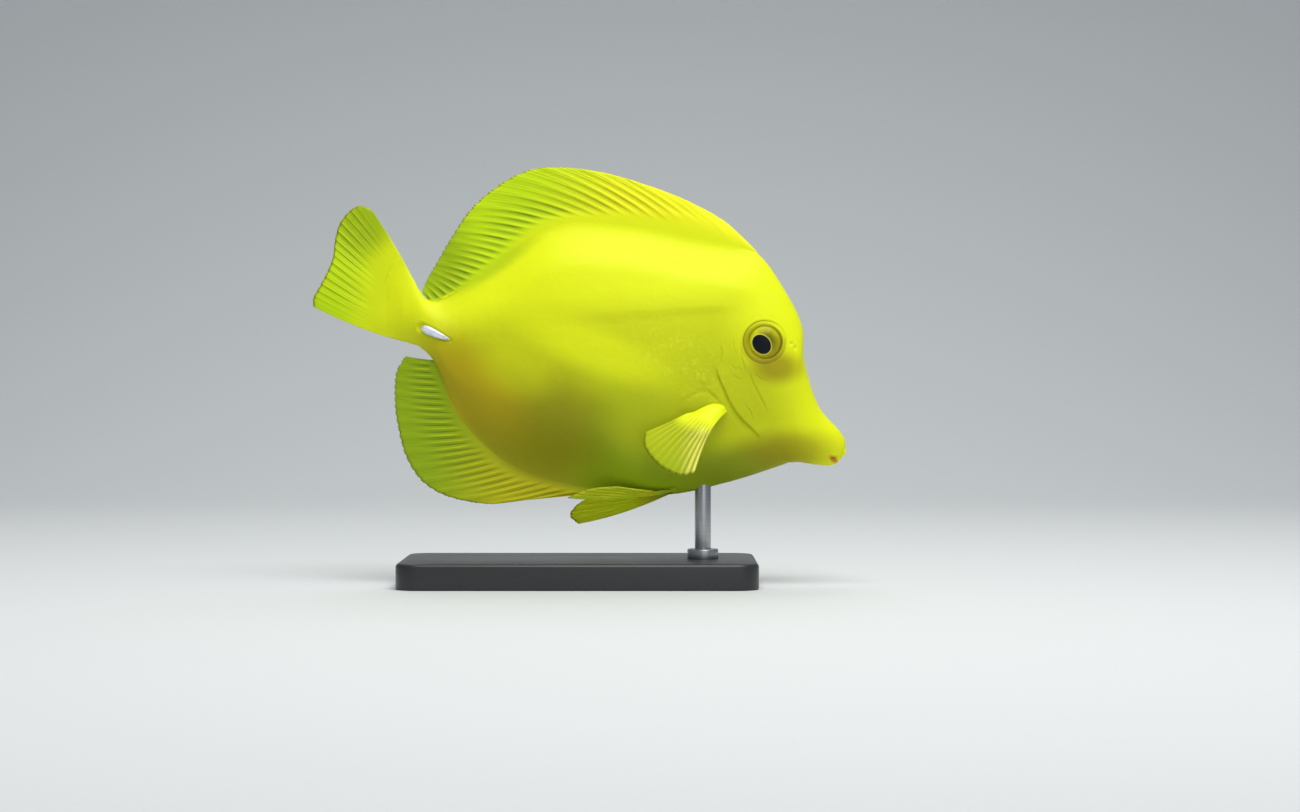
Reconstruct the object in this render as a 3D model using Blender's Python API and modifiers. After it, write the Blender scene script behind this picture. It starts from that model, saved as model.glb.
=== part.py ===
"""Yellow tang, life size, as a still museum model held on a plain stand.

The fish is modelled level, in millimetres: the snout's tip is at 0, +X runs forward,
+Z up and the midline lies in the XZ plane. An empty then tips it nose down and lifts it
over the stand. The origin is the centre of the stand's underside.
"""
import math

import bmesh
import bpy
from mathutils import Vector

MM = 0.001
GAP = 0.3

# Driving sizes of the whole
NOSE_DOWN = math.radians(12.0)
SNOUT_AT = (82.6, 0.0, 41.6)
TAIL_SWING = 3.5
SWING_FROM = -95.0
SWING_TO = -170.0

# One row for each key section of the body, from the lips to the tail fin's root:
# belly x and z, back x and z, how far the middle bows to the rear, half width.
BODY = (
    (-0.7, -2.7, -0.1, 0.3, 0.0, 1.6),
    (-1.9, -4.5, -1.5, 2.7, 0.0, 2.6),
    (-4.0, -5.6, -4.1, 5.1, 0.0, 3.6),
    (-8.3, -6.2, -11.8, 11.4, 0.0, 5.3),
    (-12.4, -6.4, -18.2, 24.0, 1.2, 7.2),
    (-13.8, -6.6, -21.3, 34.7, 2.6, 8.1),
    (-15.3, -7.0, -28.6, 44.2, 5.4, 9.0),
    (-17.0, -7.5, -38.2, 53.0, 9.6, 9.9),
    (-18.9, -8.8, -45.5, 53.9, 14.0, 10.7),
    (-34.5, -17.6, -59.0, 53.3, 11.0, 11.4),
    (-52.8, -25.2, -79.5, 53.0, 6.8, 11.5),
    (-76.8, -27.2, -102.0, 48.4, 3.0, 10.2),
    (-100.1, -25.0, -118.7, 30.6, 0.6, 7.4),
    (-119.2, -13.9, -129.0, 20.3, 0.0, 5.2),
    (-129.7, -0.3, -135.5, 18.0, 0.0, 4.0),
    (-135.2, 3.7, -139.6, 20.9, 1.0, 3.1),
    (-138.3, 4.4, -141.7, 23.4, 2.6, 1.7),
)
HEAD_END = 8.0
TRUNK_END = 13.0
TAIL_END = 16.0
FIN_EDGE = 1.0
LIP_EDGE = 0.6
ROWS = 14
GILL_FLAP = 0.5

# Eyes and what surrounds them
EYE_X, EYE_Z = -31.3, 27.6
EYE_RADIUS, EYE_DEPTH = 5.9, 3.6
EYE_SUNK = 1.9
ORBIT_RADIUS, ORBIT_ROLL = 5.9, 0.75
NOSTRILS = ((-22.4, 27.6, 0.5), (-23.6, 28.6, 0.4))

# Mouth: a short cleft that slopes down to its corners, with a rolled lip on each side
CLEFT_FRONT = (-0.9, -2.1)
CLEFT_CORNER = (-4.1, -3.7)
CLEFT_HEIGHT = 0.5
LIP_ROLL = 0.8
LIP_HALF_WIDTH = 2.5

# Fins. A key ray of a median fin is its root's x on the body's edge, then its tip's x and z.
DORSAL_RAYS = 29
DORSAL_KEYS = (
    (-40.6, -43.2, 56.6),
    (-43.4, -52.3, 62.1),
    (-46.5, -65.8, 65.9),
    (-50.0, -78.9, 67.8),
    (-55.5, -91.8, 68.6),
    (-63.5, -104.2, 67.5),
    (-72.5, -113.7, 64.7),
    (-83.0, -121.9, 58.4),
    (-99.0, -128.9, 49.6),
    (-111.0, -133.2, 39.8),
    (-118.5, -136.3, 30.6),
    (-125.0, -137.7, 25.2),
    (-132.5, -138.0, 21.2),
)
ANAL_RAYS = 23
ANAL_KEYS = (
    (-59.1, -63.1, -27.9),
    (-62.2, -71.6, -29.6),
    (-66.6, -83.6, -32.3),
    (-73.1, -95.4, -36.3),
    (-79.9, -104.3, -39.3),
    (-87.9, -113.7, -40.0),
    (-95.0, -121.2, -39.1),
    (-102.3, -127.8, -36.0),
    (-108.9, -133.6, -29.7),
    (-116.7, -138.1, -20.5),
    (-122.5, -140.4, -13.4),
    (-127.5, -141.6, -5.6),
    (-130.7, -139.9, 0.2),
)
# A key ray of the tail fin is its root's height on the tail stem's end, then its tip.
CAUDAL_RAYS = 16
CAUDAL_KEYS = (
    (1.00, -161.2, 43.2),
    (0.88, -164.8, 40.0),
    (0.75, -167.0, 35.0),
    (0.62, -167.9, 30.0),
    (0.48, -168.2, 25.6),
    (0.34, -168.9, 21.0),
    (0.20, -170.3, 16.0),
    (0.08, -171.0, 12.0),
    (0.00, -170.4, 9.4),
)
MEMBRANE = 0.5
RAY_TIP = 0.8
FIN_ROOT = 2.0
NOTCH = 0.5

# A paired fin's key ray: root x and z, tip x and z, and how far out the tip stands.
PECTORAL_RAYS = 13
PECTORAL_KEYS = (
    (-38.9, 2.2, -44.5, -15.2, 19.0),
    (-39.4, 3.2, -48.5, -17.8, 17.5),
    (-40.0, 4.2, -54.2, -17.0, 14.0),
    (-40.7, 5.2, -58.6, -14.4, 10.0),
    (-41.4, 6.3, -61.9, -10.8, 6.5),
    (-42.2, 7.6, -61.5, -7.0, 4.0),
)
PELVIC_RAYS = 6
PELVIC_ROOT_Y = 3.0
PELVIC_RIGHT_KEYS = (
    (-48.8, -81.4, -32.2, 7.5),
    (-50.0, -79.3, -30.4, 7.6),
    (-51.3, -74.4, -27.6, 7.8),
    (-52.6, -67.0, -25.4, 7.4),
)
PELVIC_LEFT_KEYS = (
    (-48.8, -76.5, -40.2, 9.5),
    (-50.0, -79.7, -38.0, 8.4),
    (-51.3, -77.6, -33.6, 7.0),
    (-52.6, -72.0, -29.4, 5.6),
)

# The folding spine on each side of the tail stem points forward
SPINE_REAR = (-136.1, 9.7)
SPINE_TIP = (-127.3, 8.1)
SPINE_WIDTH = 3.0
SPINE_THICK = 1.3

# Stand
BASE_LENGTH, BASE_WIDTH, BASE_HEIGHT = 110.0, 58.0, 8.0
BASE_CORNER, BASE_ROUNDING = 7.0, 1.2
ROD_RADIUS = 2.5
ROD_X = 38.4

YELLOW = (0.86, 0.84, 0.02)
OLIVE_YELLOW = (0.62, 0.60, 0.02)
FIN_YELLOW = (0.72, 0.80, 0.03)
EYE_BLACK = (0.01, 0.01, 0.02)
SPINE_WHITE = (0.85, 0.88, 0.95)
STAND_GREY = (0.10, 0.10, 0.11)


def blend(a, b, share):
    return a + (b - a) * share


def smooth_rows(rows, u):
    """A point on the smooth curve through equal-length rows, at u from 0 to the last row."""
    last = len(rows) - 1
    index = min(max(int(u), 0), last - 1)
    s = min(max(u - index, 0.0), 1.0)
    before = rows[max(index - 1, 0)]
    start, end = rows[index], rows[index + 1]
    after = rows[min(index + 2, last)]
    values = []
    for p, a, b, n in zip(before, start, end, after):
        slope_a, slope_b = (b - p) / 2, (n - a) / 2
        values.append(
            (2 * s**3 - 3 * s**2 + 1) * a
            + (s**3 - 2 * s**2 + s) * slope_a
            + (3 * s**2 - 2 * s**3) * b
            + (s**3 - s**2) * slope_b
        )
    return values


def swing(x):
    """How far the midline stands to the left at x: the tail swings gently that way."""
    share = min(max((x - SWING_FROM) / (SWING_TO - SWING_FROM), 0.0), 1.1)
    return TAIL_SWING * share * share


def bulge(u, t):
    """Share of the half width at height share t: round on the head, leaner on the trunk."""
    lean = blend(0.5, 0.64, min(max((u - 5.0) / 4.0, 0.0), 1.0))
    lean = blend(lean, 0.5, min(max((u - 12.0) / 3.0, 0.0), 1.0))
    return max(1.0 - abs(2.0 * t - 1.0) ** 2.1, 0.0) ** lean


def body_point(u, t):
    """x, half width and z of the body's side at section u and height share t."""
    belly_x, belly_z, back_x, back_z, bow, half = smooth_rows(BODY, u)
    edge = blend(LIP_EDGE, FIN_EDGE, min(u / 4.0, 1.0))
    x = blend(belly_x, back_x, t) - bow * 4.0 * t * (1.0 - t)
    return x, edge + (half - edge) * bulge(u, t), blend(belly_z, back_z, t)


def side_of_body(x, z):
    """Half width of the body where its side passes through x and z."""
    low, high = 0.0, TAIL_END
    for _ in range(40):
        u = (low + high) / 2
        belly_x, belly_z, back_x, back_z, bow, _half = smooth_rows(BODY, u)
        t = (z - belly_z) / (back_z - belly_z)
        inside = min(max(t, 0.0), 1.0)
        at = blend(belly_x, back_x, t) - bow * 4.0 * inside * (1.0 - inside)
        if at > x:
            low = u
        else:
            high = u
    return body_point(u, inside)[1]


def edge_of_body(x, t):
    """A point on the belly line (t = 0) or the back line (t = 1), and the way out there."""
    low, high = 0.0, TAIL_END
    for _ in range(40):
        u = (low + high) / 2
        if body_point(u, t)[0] > x:
            low = u
        else:
            high = u
    here, ahead, behind = (body_point(s, t) for s in (u, u - 0.02, u + 0.02))
    run = Vector((behind[0] - ahead[0], 0.0, behind[2] - ahead[2])).normalized()
    way_out = Vector((run.z, 0.0, -run.x)) * (1.0 if t > 0.5 else -1.0)
    return Vector((here[0], 0.0, here[2])), way_out


def material(name, colour, roughness):
    made = bpy.data.materials.new(name)
    made.use_nodes = True
    shader = made.node_tree.nodes["Principled BSDF"]
    shader.inputs["Base Color"].default_value = (*colour, 1.0)
    shader.inputs["Roughness"].default_value = roughness
    shader.inputs["Metallic"].default_value = 0.0
    return made


def new_object(name, mesh, colour, roughness, home, parent=None):
    made = bpy.data.objects.new(name, mesh)
    mesh.materials.clear()
    mesh.materials.append(material(name + "_finish", colour, roughness))
    home.objects.link(made)
    made.parent = parent
    return made


def mesh_of(bm, name):
    """The finished mesh in metres, with the tail's swing and its faces turned outwards."""
    for vert in bm.verts:
        vert.co.y += swing(vert.co.x)
        vert.co *= MM
    bm.normal_update()
    bmesh.ops.recalc_face_normals(bm, faces=bm.faces)
    mesh = bpy.data.meshes.new(name)
    bm.to_mesh(mesh)
    bm.free()
    return mesh


def loft(name, start, end, stations, flap=0.0):
    """A length of the body between two sections, closed at each by its own cut face."""
    bm = bmesh.new()
    rings = []
    for i in range(stations + 1):
        share = i / stations
        u = blend(start, end, share)
        right, left = [], []
        for j in range(ROWS + 1):
            t = (1.0 - math.cos(math.pi * j / ROWS)) / 2.0
            x, half, z = body_point(u, t)
            if t < 0.62:
                half += flap * math.sin(math.pi * t / 0.62) * max(share * 6.0 - 5.0, 0.0)
            right.append(bm.verts.new((x, -half, z)))
            left.append(bm.verts.new((x, half, z)))
        rings.append(right + left[::-1])
    count = len(rings[0])
    for a, b in zip(rings, rings[1:]):
        for j in range(count):
            bm.faces.new((a[j], a[(j + 1) % count], b[(j + 1) % count], b[j]))
    for ring in (rings[0], rings[-1]):
        for j in range(ROWS):
            bm.faces.new((ring[j], ring[j + 1], ring[count - 2 - j], ring[count - 1 - j]))
    return mesh_of(bm, name)


def apply_boolean(target, pieces, operation):
    """Joins or cuts with every object of a collection at once, then removes them."""
    change = target.modifiers.new(operation.lower(), "BOOLEAN")
    change.operation = operation
    change.operand_type = "COLLECTION"
    change.collection = pieces
    change.solver = "EXACT"
    seen = target.evaluated_get(bpy.context.evaluated_depsgraph_get())
    mesh = bpy.data.meshes.new_from_object(seen)
    target.modifiers.clear()
    finish = target.data.materials[0]
    target.data = mesh
    mesh.materials.clear()
    mesh.materials.append(finish)
    for piece in list(pieces.objects):
        bpy.data.objects.remove(piece)
    bpy.data.collections.remove(pieces)


def keep_largest_body(mesh):
    """Drops loose scraps and sealed hollows that a cut may leave."""
    bm = bmesh.new()
    bm.from_mesh(mesh)
    left = set(bm.verts)
    bodies = []
    while left:
        stack = [left.pop()]
        body = set(stack)
        while stack:
            for edge in stack.pop().link_edges:
                for vert in edge.verts:
                    if vert not in body:
                        body.add(vert)
                        left.discard(vert)
                        stack.append(vert)
        bodies.append(body)
    bodies.sort(key=len)
    for body in bodies[:-1]:
        bmesh.ops.delete(bm, geom=list(body), context="VERTS")
    bm.to_mesh(mesh)
    bm.free()


def helper_set(name):
    """A collection for pieces that are joined to a node or cut from it."""
    made = bpy.data.collections.new(name)
    bpy.context.scene.collection.children.link(made)
    return made


def helper(bm, name, home, parent):
    mesh = bpy.data.meshes.new(name)
    bm.normal_update()
    bmesh.ops.recalc_face_normals(bm, faces=bm.faces)
    for vert in bm.verts:
        vert.co *= MM
    bm.to_mesh(mesh)
    bm.free()
    made = bpy.data.objects.new(name, mesh)
    made.hide_render = True
    made.display_type = "WIRE"
    home.objects.link(made)
    made.parent = parent
    return made


def eyeball(side, grow, rings):
    """The flattened ball of an eye, sunk in the head's side by EYE_SUNK at its widest."""
    bm = bmesh.new()
    bmesh.ops.create_uvsphere(bm, u_segments=2 * rings, v_segments=rings, radius=1.0)
    at_y = side * (side_of_body(EYE_X, EYE_Z) - EYE_SUNK)
    for vert in bm.verts:
        x, z, depth = vert.co
        vert.co = (
            EYE_X + x * (EYE_RADIUS + grow),
            at_y + depth * (EYE_DEPTH + grow),
            EYE_Z + z * (EYE_RADIUS + grow),
        )
    return bm


def orbit(side):
    """The raised skin round an eye, a ring that hugs the head's side."""
    bm = bmesh.new()
    around, roll = 28, 8
    rings = []
    for i in range(around):
        turn = 2.0 * math.pi * i / around
        ring = []
        for j in range(roll):
            angle = 2.0 * math.pi * j / roll
            reach = ORBIT_RADIUS + ORBIT_ROLL * math.cos(angle)
            x, z = EYE_X + reach * math.cos(turn), EYE_Z + reach * math.sin(turn)
            out = side_of_body(x, z) + ORBIT_ROLL * math.sin(angle)
            ring.append(bm.verts.new((x, side * out, z)))
        rings.append(ring)
    for i in range(around):
        a, b = rings[i], rings[(i + 1) % around]
        for j in range(roll):
            bm.faces.new((a[j], a[(j + 1) % roll], b[(j + 1) % roll], b[j]))
    return bm


def nostril(side, x, z, radius):
    """A shallow pit, wider at its mouth."""
    bm = bmesh.new()
    bmesh.ops.create_cone(
        bm, cap_ends=True, segments=8, radius1=radius * 0.5, radius2=radius * 1.6, depth=2.4
    )
    out = side_of_body(x, z)
    for vert in bm.verts:
        a, b, depth = vert.co
        vert.co = (x + a, side * (out + depth), z + b)
    return bm


def lip(above):
    """A rolled lip round the mouth, from corner to corner past the front."""
    bm = bmesh.new()
    steps, sides = 12, 8
    run = Vector((CLEFT_CORNER[0] - CLEFT_FRONT[0], 0.0, CLEFT_CORNER[1] - CLEFT_FRONT[1]))
    length = run.length
    run.normalize()
    up = Vector((-run.z, 0.0, run.x))
    up = up if up.z > 0.0 else -up
    front = Vector((CLEFT_FRONT[0], 0.0, CLEFT_FRONT[1]))
    rings = []
    for i in range(steps + 1):
        turn = math.radians(blend(-84.0, 84.0, i / steps))
        roll = LIP_ROLL * (0.55 + 0.45 * math.cos(turn))
        centre = front + run * (length * (1.0 - math.cos(turn)) + 0.4)
        centre += up * above * (CLEFT_HEIGHT / 2 + roll * 0.6)
        centre.y = LIP_HALF_WIDTH * math.sin(turn)
        along = Vector((0.0, 1.0, 0.0)) * math.cos(turn) + run * math.sin(turn)
        across = along.cross(up).normalized()
        ring = []
        for j in range(sides):
            angle = 2.0 * math.pi * j / sides
            spot = centre + (across * math.cos(angle) + up * math.sin(angle)) * roll
            ring.append(bm.verts.new(spot))
        rings.append(ring)
    for a, b in zip(rings, rings[1:]):
        for j in range(sides):
            bm.faces.new((a[j], a[(j + 1) % sides], b[(j + 1) % sides], b[j]))
    bm.faces.new(rings[0])
    bm.faces.new(rings[-1])
    return bm


def cleft():
    """The thin wedge of space between the lips."""
    bm = bmesh.new()
    bmesh.ops.create_cube(bm, size=1.0)
    front = Vector((CLEFT_FRONT[0], 0.0, CLEFT_FRONT[1]))
    corner = Vector((CLEFT_CORNER[0], 0.0, CLEFT_CORNER[1]))
    run = (corner - front).normalized()
    up = Vector((-run.z, 0.0, run.x))
    length = (corner - front).length
    for vert in bm.verts:
        along, across, height = vert.co
        spot = front + run * (along + 0.5) * length * 1.6 - run * length * 0.6
        vert.co = spot + up * height * CLEFT_HEIGHT + Vector((0.0, across * 12.0, 0.0))
    return bm


def make_head(home, pose):
    mesh = loft("head", 0.0, HEAD_END - 0.02, 18, GILL_FLAP)
    head = new_object("head", mesh, YELLOW, 0.45, home, pose)
    raised = helper_set("head_raised")
    cut = helper_set("head_cut")
    for side in (-1, 1):
        helper(orbit(side), "orbit", raised, pose)
        helper(eyeball(side, GAP, 12), "socket", cut, pose)
        for x, z, radius in NOSTRILS:
            helper(nostril(side, x, z, radius), "nostril", cut, pose)
    for above in (-1, 1):
        helper(lip(above), "lip", raised, pose)
    helper(cleft(), "cleft", cut, pose)
    apply_boolean(head, raised, "UNION")
    apply_boolean(head, cut, "DIFFERENCE")
    keep_largest_body(head.data)
    for side, name in ((-1, "eye_right"), (1, "eye_left")):
        bm = eyeball(side, 0.0, 10)
        new_object(name, mesh_of(bm, name), EYE_BLACK, 0.08, home, pose)


def ray_fin(name, point, rays, rows, root, colour, home, pose):
    """A membrane with its rays raised as ridges in its own surface.

    point(s, v) is the membrane's middle, s from the first ray to the last and v from the
    root to the margin. Between two rays the margin draws in a little.
    """
    columns = 2 * rays - 2
    bm = bmesh.new()
    bmesh.ops.create_grid(bm, x_segments=columns, y_segments=rows, size=0.5)
    weights = {}
    bm.verts.index_update()
    for vert in bm.verts:
        s, v = vert.co.x + 0.5, vert.co.y + 0.5
        groove = round(s * columns) % 2
        fade = min(v * 2.5, 1.0)
        ridge = blend(root, RAY_TIP, v)
        hollow = blend(root, MEMBRANE, min(v * 1.6, 1.0))
        weights[vert.index] = blend(ridge, hollow, fade if groove else 0.0) / root
        spot = point(s, v)
        if groove and v > 0.99:
            spot = spot + (point(s, 0.9) - spot).normalized() * NOTCH
        vert.co = spot
    bmesh.ops.triangulate(bm, faces=bm.faces)
    fin = new_object(name, mesh_of(bm, name), colour, 0.5, home, pose)
    group = fin.vertex_groups.new(name="thickness")
    for index, weight in weights.items():
        group.add([index], weight, "REPLACE")
    wall = fin.modifiers.new("wall", "SOLIDIFY")
    wall.thickness = root * MM
    wall.offset = 0.0
    wall.vertex_group = group.name
    return fin


def arched(root, tip, v, rise):
    """A point on a ray that leaves its root steeply and bends over to its tip."""
    along = tip - root
    steep = root + along * 0.45 + rise
    return root * (1 - v) ** 2 + steep * 2 * v * (1 - v) + tip * v * v


def median_fin(name, keys, rays, rows, edge, rise, home, pose):
    def point(s, v):
        root_x, tip_x, tip_z = smooth_rows(keys, s * (len(keys) - 1))
        root, way_out = edge_of_body(root_x, edge)
        root = root + way_out * GAP
        tip = Vector((tip_x, 0.0, tip_z))
        return arched(root, tip, v, way_out * rise * (tip - root).length)

    return ray_fin(name, point, rays, rows, FIN_ROOT, FIN_YELLOW, home, pose)


def make_caudal(home, pose):
    def point(s, v):
        height, tip_x, tip_z = smooth_rows(CAUDAL_KEYS, s * (len(CAUDAL_KEYS) - 1))
        x, _half, z = body_point(TAIL_END, min(max(height, 0.0), 1.0))
        root = Vector((x - GAP, 0.0, z))
        tip = Vector((tip_x, 0.0, tip_z))
        spread = Vector((0.0, 0.0, (height - 0.6) * 3.6))
        return arched(root, tip, v, spread)

    ray_fin("caudal_fin", point, CAUDAL_RAYS, 6, 2.2, FIN_YELLOW, home, pose)


def make_pectoral(side, name, home, pose):
    root_y = side_of_body(PECTORAL_KEYS[3][0], PECTORAL_KEYS[3][1]) + GAP + FIN_ROOT / 2

    def point(s, v):
        root_x, root_z, tip_x, tip_z, out = smooth_rows(
            PECTORAL_KEYS, s * (len(PECTORAL_KEYS) - 1)
        )
        root = Vector((root_x, root_y, root_z))
        tip = Vector((tip_x, root_y + out, tip_z))
        spot = arched(root, tip, v, Vector((0.0, 1.0, 3.5 * s)))
        clear = side_of_body(spot.x, spot.z) + GAP + blend(FIN_ROOT, MEMBRANE, v) / 2 + 0.2
        spot.y = side * max(spot.y, clear)
        return spot

    ray_fin(name, point, PECTORAL_RAYS, 7, FIN_ROOT, FIN_YELLOW, home, pose)


def belly_side(x, half):
    """Where the belly is half wide: a point on the body near its belly line at x."""
    low, high = 0.0, 0.3
    start = edge_of_body(x, 0.0)[0]
    for _ in range(30):
        rise = (low + high) / 2
        if side_of_body(x, start.z + rise * 40.0) < half:
            low = rise
        else:
            high = rise
    return Vector((x, half, start.z + rise * 40.0))


def make_pelvic(side, name, keys, home, pose):
    thick = 1.4

    def point(s, v):
        root_x, tip_x, tip_z, tip_y = smooth_rows(keys, s * (len(keys) - 1))
        root = belly_side(root_x, PELVIC_ROOT_Y) + Vector((0.0, 0.9, -0.9))
        tip = Vector((tip_x, tip_y, tip_z))
        spot = arched(root, tip, v, Vector((0.0, 0.8, (s - 1.0) * 3.0)))
        belly = edge_of_body(spot.x, 0.0)[0].z
        if spot.z > belly - 1.0:
            over = side_of_body(spot.x, max(spot.z, belly + 0.1))
            spot.y = max(spot.y, over + GAP + thick / 2 + 0.2)
        spot.y *= side
        return spot

    ray_fin(name, point, PELVIC_RAYS, 7, thick, FIN_YELLOW, home, pose)


def make_spine(side, name, home, pose):
    """A flat, pointed spine that lies along the stem's side with its point forward."""
    bm = bmesh.new()
    bmesh.ops.create_uvsphere(bm, u_segments=12, v_segments=8, radius=1.0)
    rear, tip = Vector((SPINE_REAR[0], SPINE_REAR[1])), Vector((SPINE_TIP[0], SPINE_TIP[1]))
    run = tip - rear
    across = Vector((-run.y, run.x)).normalized()
    for vert in bm.verts:
        share = (vert.co.z + 1.0) / 2.0
        taper = 1.0 - 0.45 * share
        spot = rear + run * share + across * vert.co.x * taper * SPINE_WIDTH / 2
        out = (vert.co.y * taper + 1.0) / 2.0 * SPINE_THICK
        vert.co = (spot.x, side * (side_of_body(spot.x, spot.y) + GAP + out), spot.y)
    new_object(name, mesh_of(bm, name), SPINE_WHITE, 0.3, home, pose)


def belly_height(x):
    """World height of the belly line over world x, in millimetres."""
    turn = (math.cos(NOSE_DOWN), math.sin(NOSE_DOWN))
    low, high = 0.0, TAIL_END
    for _ in range(40):
        u = (low + high) / 2
        px, _half, pz = body_point(u, 0.0)
        at_x = SNOUT_AT[0] + px * turn[0] + pz * turn[1]
        if at_x > x:
            low = u
        else:
            high = u
    return SNOUT_AT[2] - px * turn[1] + pz * turn[0]


def make_stand(home):
    bm = bmesh.new()
    bmesh.ops.create_cube(bm, size=1.0)
    for vert in bm.verts:
        vert.co.x *= BASE_LENGTH * MM
        vert.co.y *= BASE_WIDTH * MM
        vert.co.z = (vert.co.z + 0.5) * BASE_HEIGHT * MM
    upright = [e for e in bm.edges if abs(e.verts[0].co.z - e.verts[1].co.z) > 0.001]
    bmesh.ops.bevel(
        bm, geom=upright, offset=BASE_CORNER * MM, segments=6, profile=0.5,
        affect="EDGES", material=-1,
    )
    top = BASE_HEIGHT * MM - 1e-6
    rim = [e for e in bm.edges if all(v.co.z > top for v in e.verts)]
    bmesh.ops.bevel(
        bm, geom=rim, offset=BASE_ROUNDING * MM, segments=2, profile=0.5,
        affect="EDGES", material=-1,
    )
    mesh = bpy.data.meshes.new("stand_base")
    bm.to_mesh(mesh)
    bm.free()
    new_object("stand_base", mesh, STAND_GREY, 0.35, home)

    bm = bmesh.new()
    bmesh.ops.create_cone(
        bm, cap_ends=True, segments=24, radius1=ROD_RADIUS, radius2=ROD_RADIUS, depth=1.0
    )
    for vert in bm.verts:
        x = vert.co.x + ROD_X
        z = belly_height(x) - GAP if vert.co.z > 0.0 else BASE_HEIGHT + GAP
        vert.co = Vector((x, vert.co.y, z)) * MM
    mesh = bpy.data.meshes.new("stand_rod")
    bm.to_mesh(mesh)
    bm.free()
    new_object("stand_rod", mesh, STAND_GREY, 0.3, home)


def main():
    for old in list(bpy.data.objects):
        bpy.data.objects.remove(old)
    home = bpy.data.collections.new("yellow_tang")
    bpy.context.scene.collection.children.link(home)
    pose = bpy.data.objects.new("fish_pose", None)
    home.objects.link(pose)
    pose.location = Vector(SNOUT_AT) * MM
    pose.rotation_euler = (0.0, NOSE_DOWN, 0.0)
    bpy.context.view_layer.update()

    make_head(home, pose)
    trunk = loft("trunk", HEAD_END + 0.02, TRUNK_END - 0.02, 22)
    new_object("trunk", trunk, YELLOW, 0.45, home, pose)
    stem = loft("tail_stem", TRUNK_END + 0.02, TAIL_END, 8)
    new_object("tail_stem", stem, OLIVE_YELLOW, 0.45, home, pose)
    median_fin("dorsal_fin", DORSAL_KEYS, DORSAL_RAYS, 6, 1.0, 0.10, home, pose)
    median_fin("anal_fin", ANAL_KEYS, ANAL_RAYS, 6, 0.0, 0.06, home, pose)
    make_caudal(home, pose)
    for side, name in ((-1, "right"), (1, "left")):
        make_pectoral(side, "pectoral_fin_" + name, home, pose)
        make_spine(side, "tail_spine_" + name, home, pose)
    make_pelvic(-1, "pelvic_fin_right", PELVIC_RIGHT_KEYS, home, pose)
    make_pelvic(1, "pelvic_fin_left", PELVIC_LEFT_KEYS, home, pose)
    make_stand(home)


main()
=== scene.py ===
"""Looks of the life-size yellow tang on its stand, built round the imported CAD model.

The fish is shaped level, in millimetres, as its solids are: the snout's tip is at 0, +X
runs forward, +Z up and the midline lies in the XZ plane. place() then swings the tail,
tips the nose down, lifts the fish over the stand and turns millimetres into metres.
"""
import math

import bmesh
import bpy
import numpy as np
from bpy.props import FloatProperty, FloatVectorProperty, IntProperty, PointerProperty
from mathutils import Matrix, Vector


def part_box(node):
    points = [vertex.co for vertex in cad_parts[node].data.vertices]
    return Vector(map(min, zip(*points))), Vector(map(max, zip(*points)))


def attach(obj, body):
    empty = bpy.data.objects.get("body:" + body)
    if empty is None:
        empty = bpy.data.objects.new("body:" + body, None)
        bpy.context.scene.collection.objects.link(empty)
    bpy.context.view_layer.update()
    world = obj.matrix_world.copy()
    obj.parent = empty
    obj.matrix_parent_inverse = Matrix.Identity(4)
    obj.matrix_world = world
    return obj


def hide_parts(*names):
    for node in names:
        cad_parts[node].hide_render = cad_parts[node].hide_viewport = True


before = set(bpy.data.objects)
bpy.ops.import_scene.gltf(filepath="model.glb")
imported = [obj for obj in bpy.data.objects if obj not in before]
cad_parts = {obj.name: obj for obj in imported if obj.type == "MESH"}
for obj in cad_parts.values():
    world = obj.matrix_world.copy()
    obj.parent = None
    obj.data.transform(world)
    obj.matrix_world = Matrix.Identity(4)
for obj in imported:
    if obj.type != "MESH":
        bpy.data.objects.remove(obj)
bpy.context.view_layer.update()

bl_info = {
    "name": "Yellow tang model",
    "version": (1, 0, 0),
    "blender": (4, 5, 0),
    "location": "3D View > Sidebar > Yellow tang",
    "description": "Skin, fins, eyes, spines, stand and studio of a life-size yellow tang",
    "category": "Object",
}

MM = 0.001

# The pose, the same as the solids have it
NOSE_DOWN = math.radians(12.0)
SNOUT_AT = (82.6, 0.0, 41.6)
TAIL_SWING = 3.5
SWING_FROM, SWING_TO = -95.0, -170.0

# Key sections of the body, from the lips to the tail fin's root: belly x and z, back x
# and z, how far the middle bows to the rear, half width
BODY = (
    (-1.1, -3.0, -0.3, 0.8, 0.0, 1.6),
    (-2.0, -4.5, -1.0, 3.0, 0.0, 2.6),
    (-4.0, -5.6, -3.5, 5.6, 0.0, 3.6),
    (-8.3, -6.2, -11.2, 11.7, 0.0, 5.3),
    (-12.4, -6.4, -18.2, 24.0, 1.2, 7.2),
    (-13.8, -6.6, -21.3, 34.7, 2.6, 8.1),
    (-15.3, -7.0, -28.6, 44.2, 5.4, 9.0),
    (-17.0, -7.5, -38.2, 53.0, 9.6, 9.9),
    (-18.9, -8.8, -45.5, 53.9, 14.0, 10.7),
    (-34.5, -17.6, -59.0, 53.3, 11.0, 11.4),
    (-52.8, -25.2, -79.5, 53.0, 6.8, 11.5),
    (-76.8, -27.2, -102.0, 48.4, 3.0, 10.2),
    (-100.1, -25.0, -118.7, 30.6, 0.6, 7.4),
    (-119.2, -13.9, -129.0, 20.3, 0.0, 5.2),
    (-129.7, -0.3, -135.5, 18.0, 0.0, 4.0),
    (-135.2, 3.7, -139.6, 20.9, 1.0, 3.1),
    (-138.3, 4.4, -141.7, 23.4, 2.6, 2.3),
)
TAIL_END = 16.0
# Half width of the body's edge along the fins and at the lips
FIN_EDGE, LIP_EDGE = 1.0, 0.6
# Halvings in a search for a place on the body, and how far apart, in sections or shares,
# two places lie that a slope is measured between
HALVINGS = 30
NEARBY = 0.02

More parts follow.
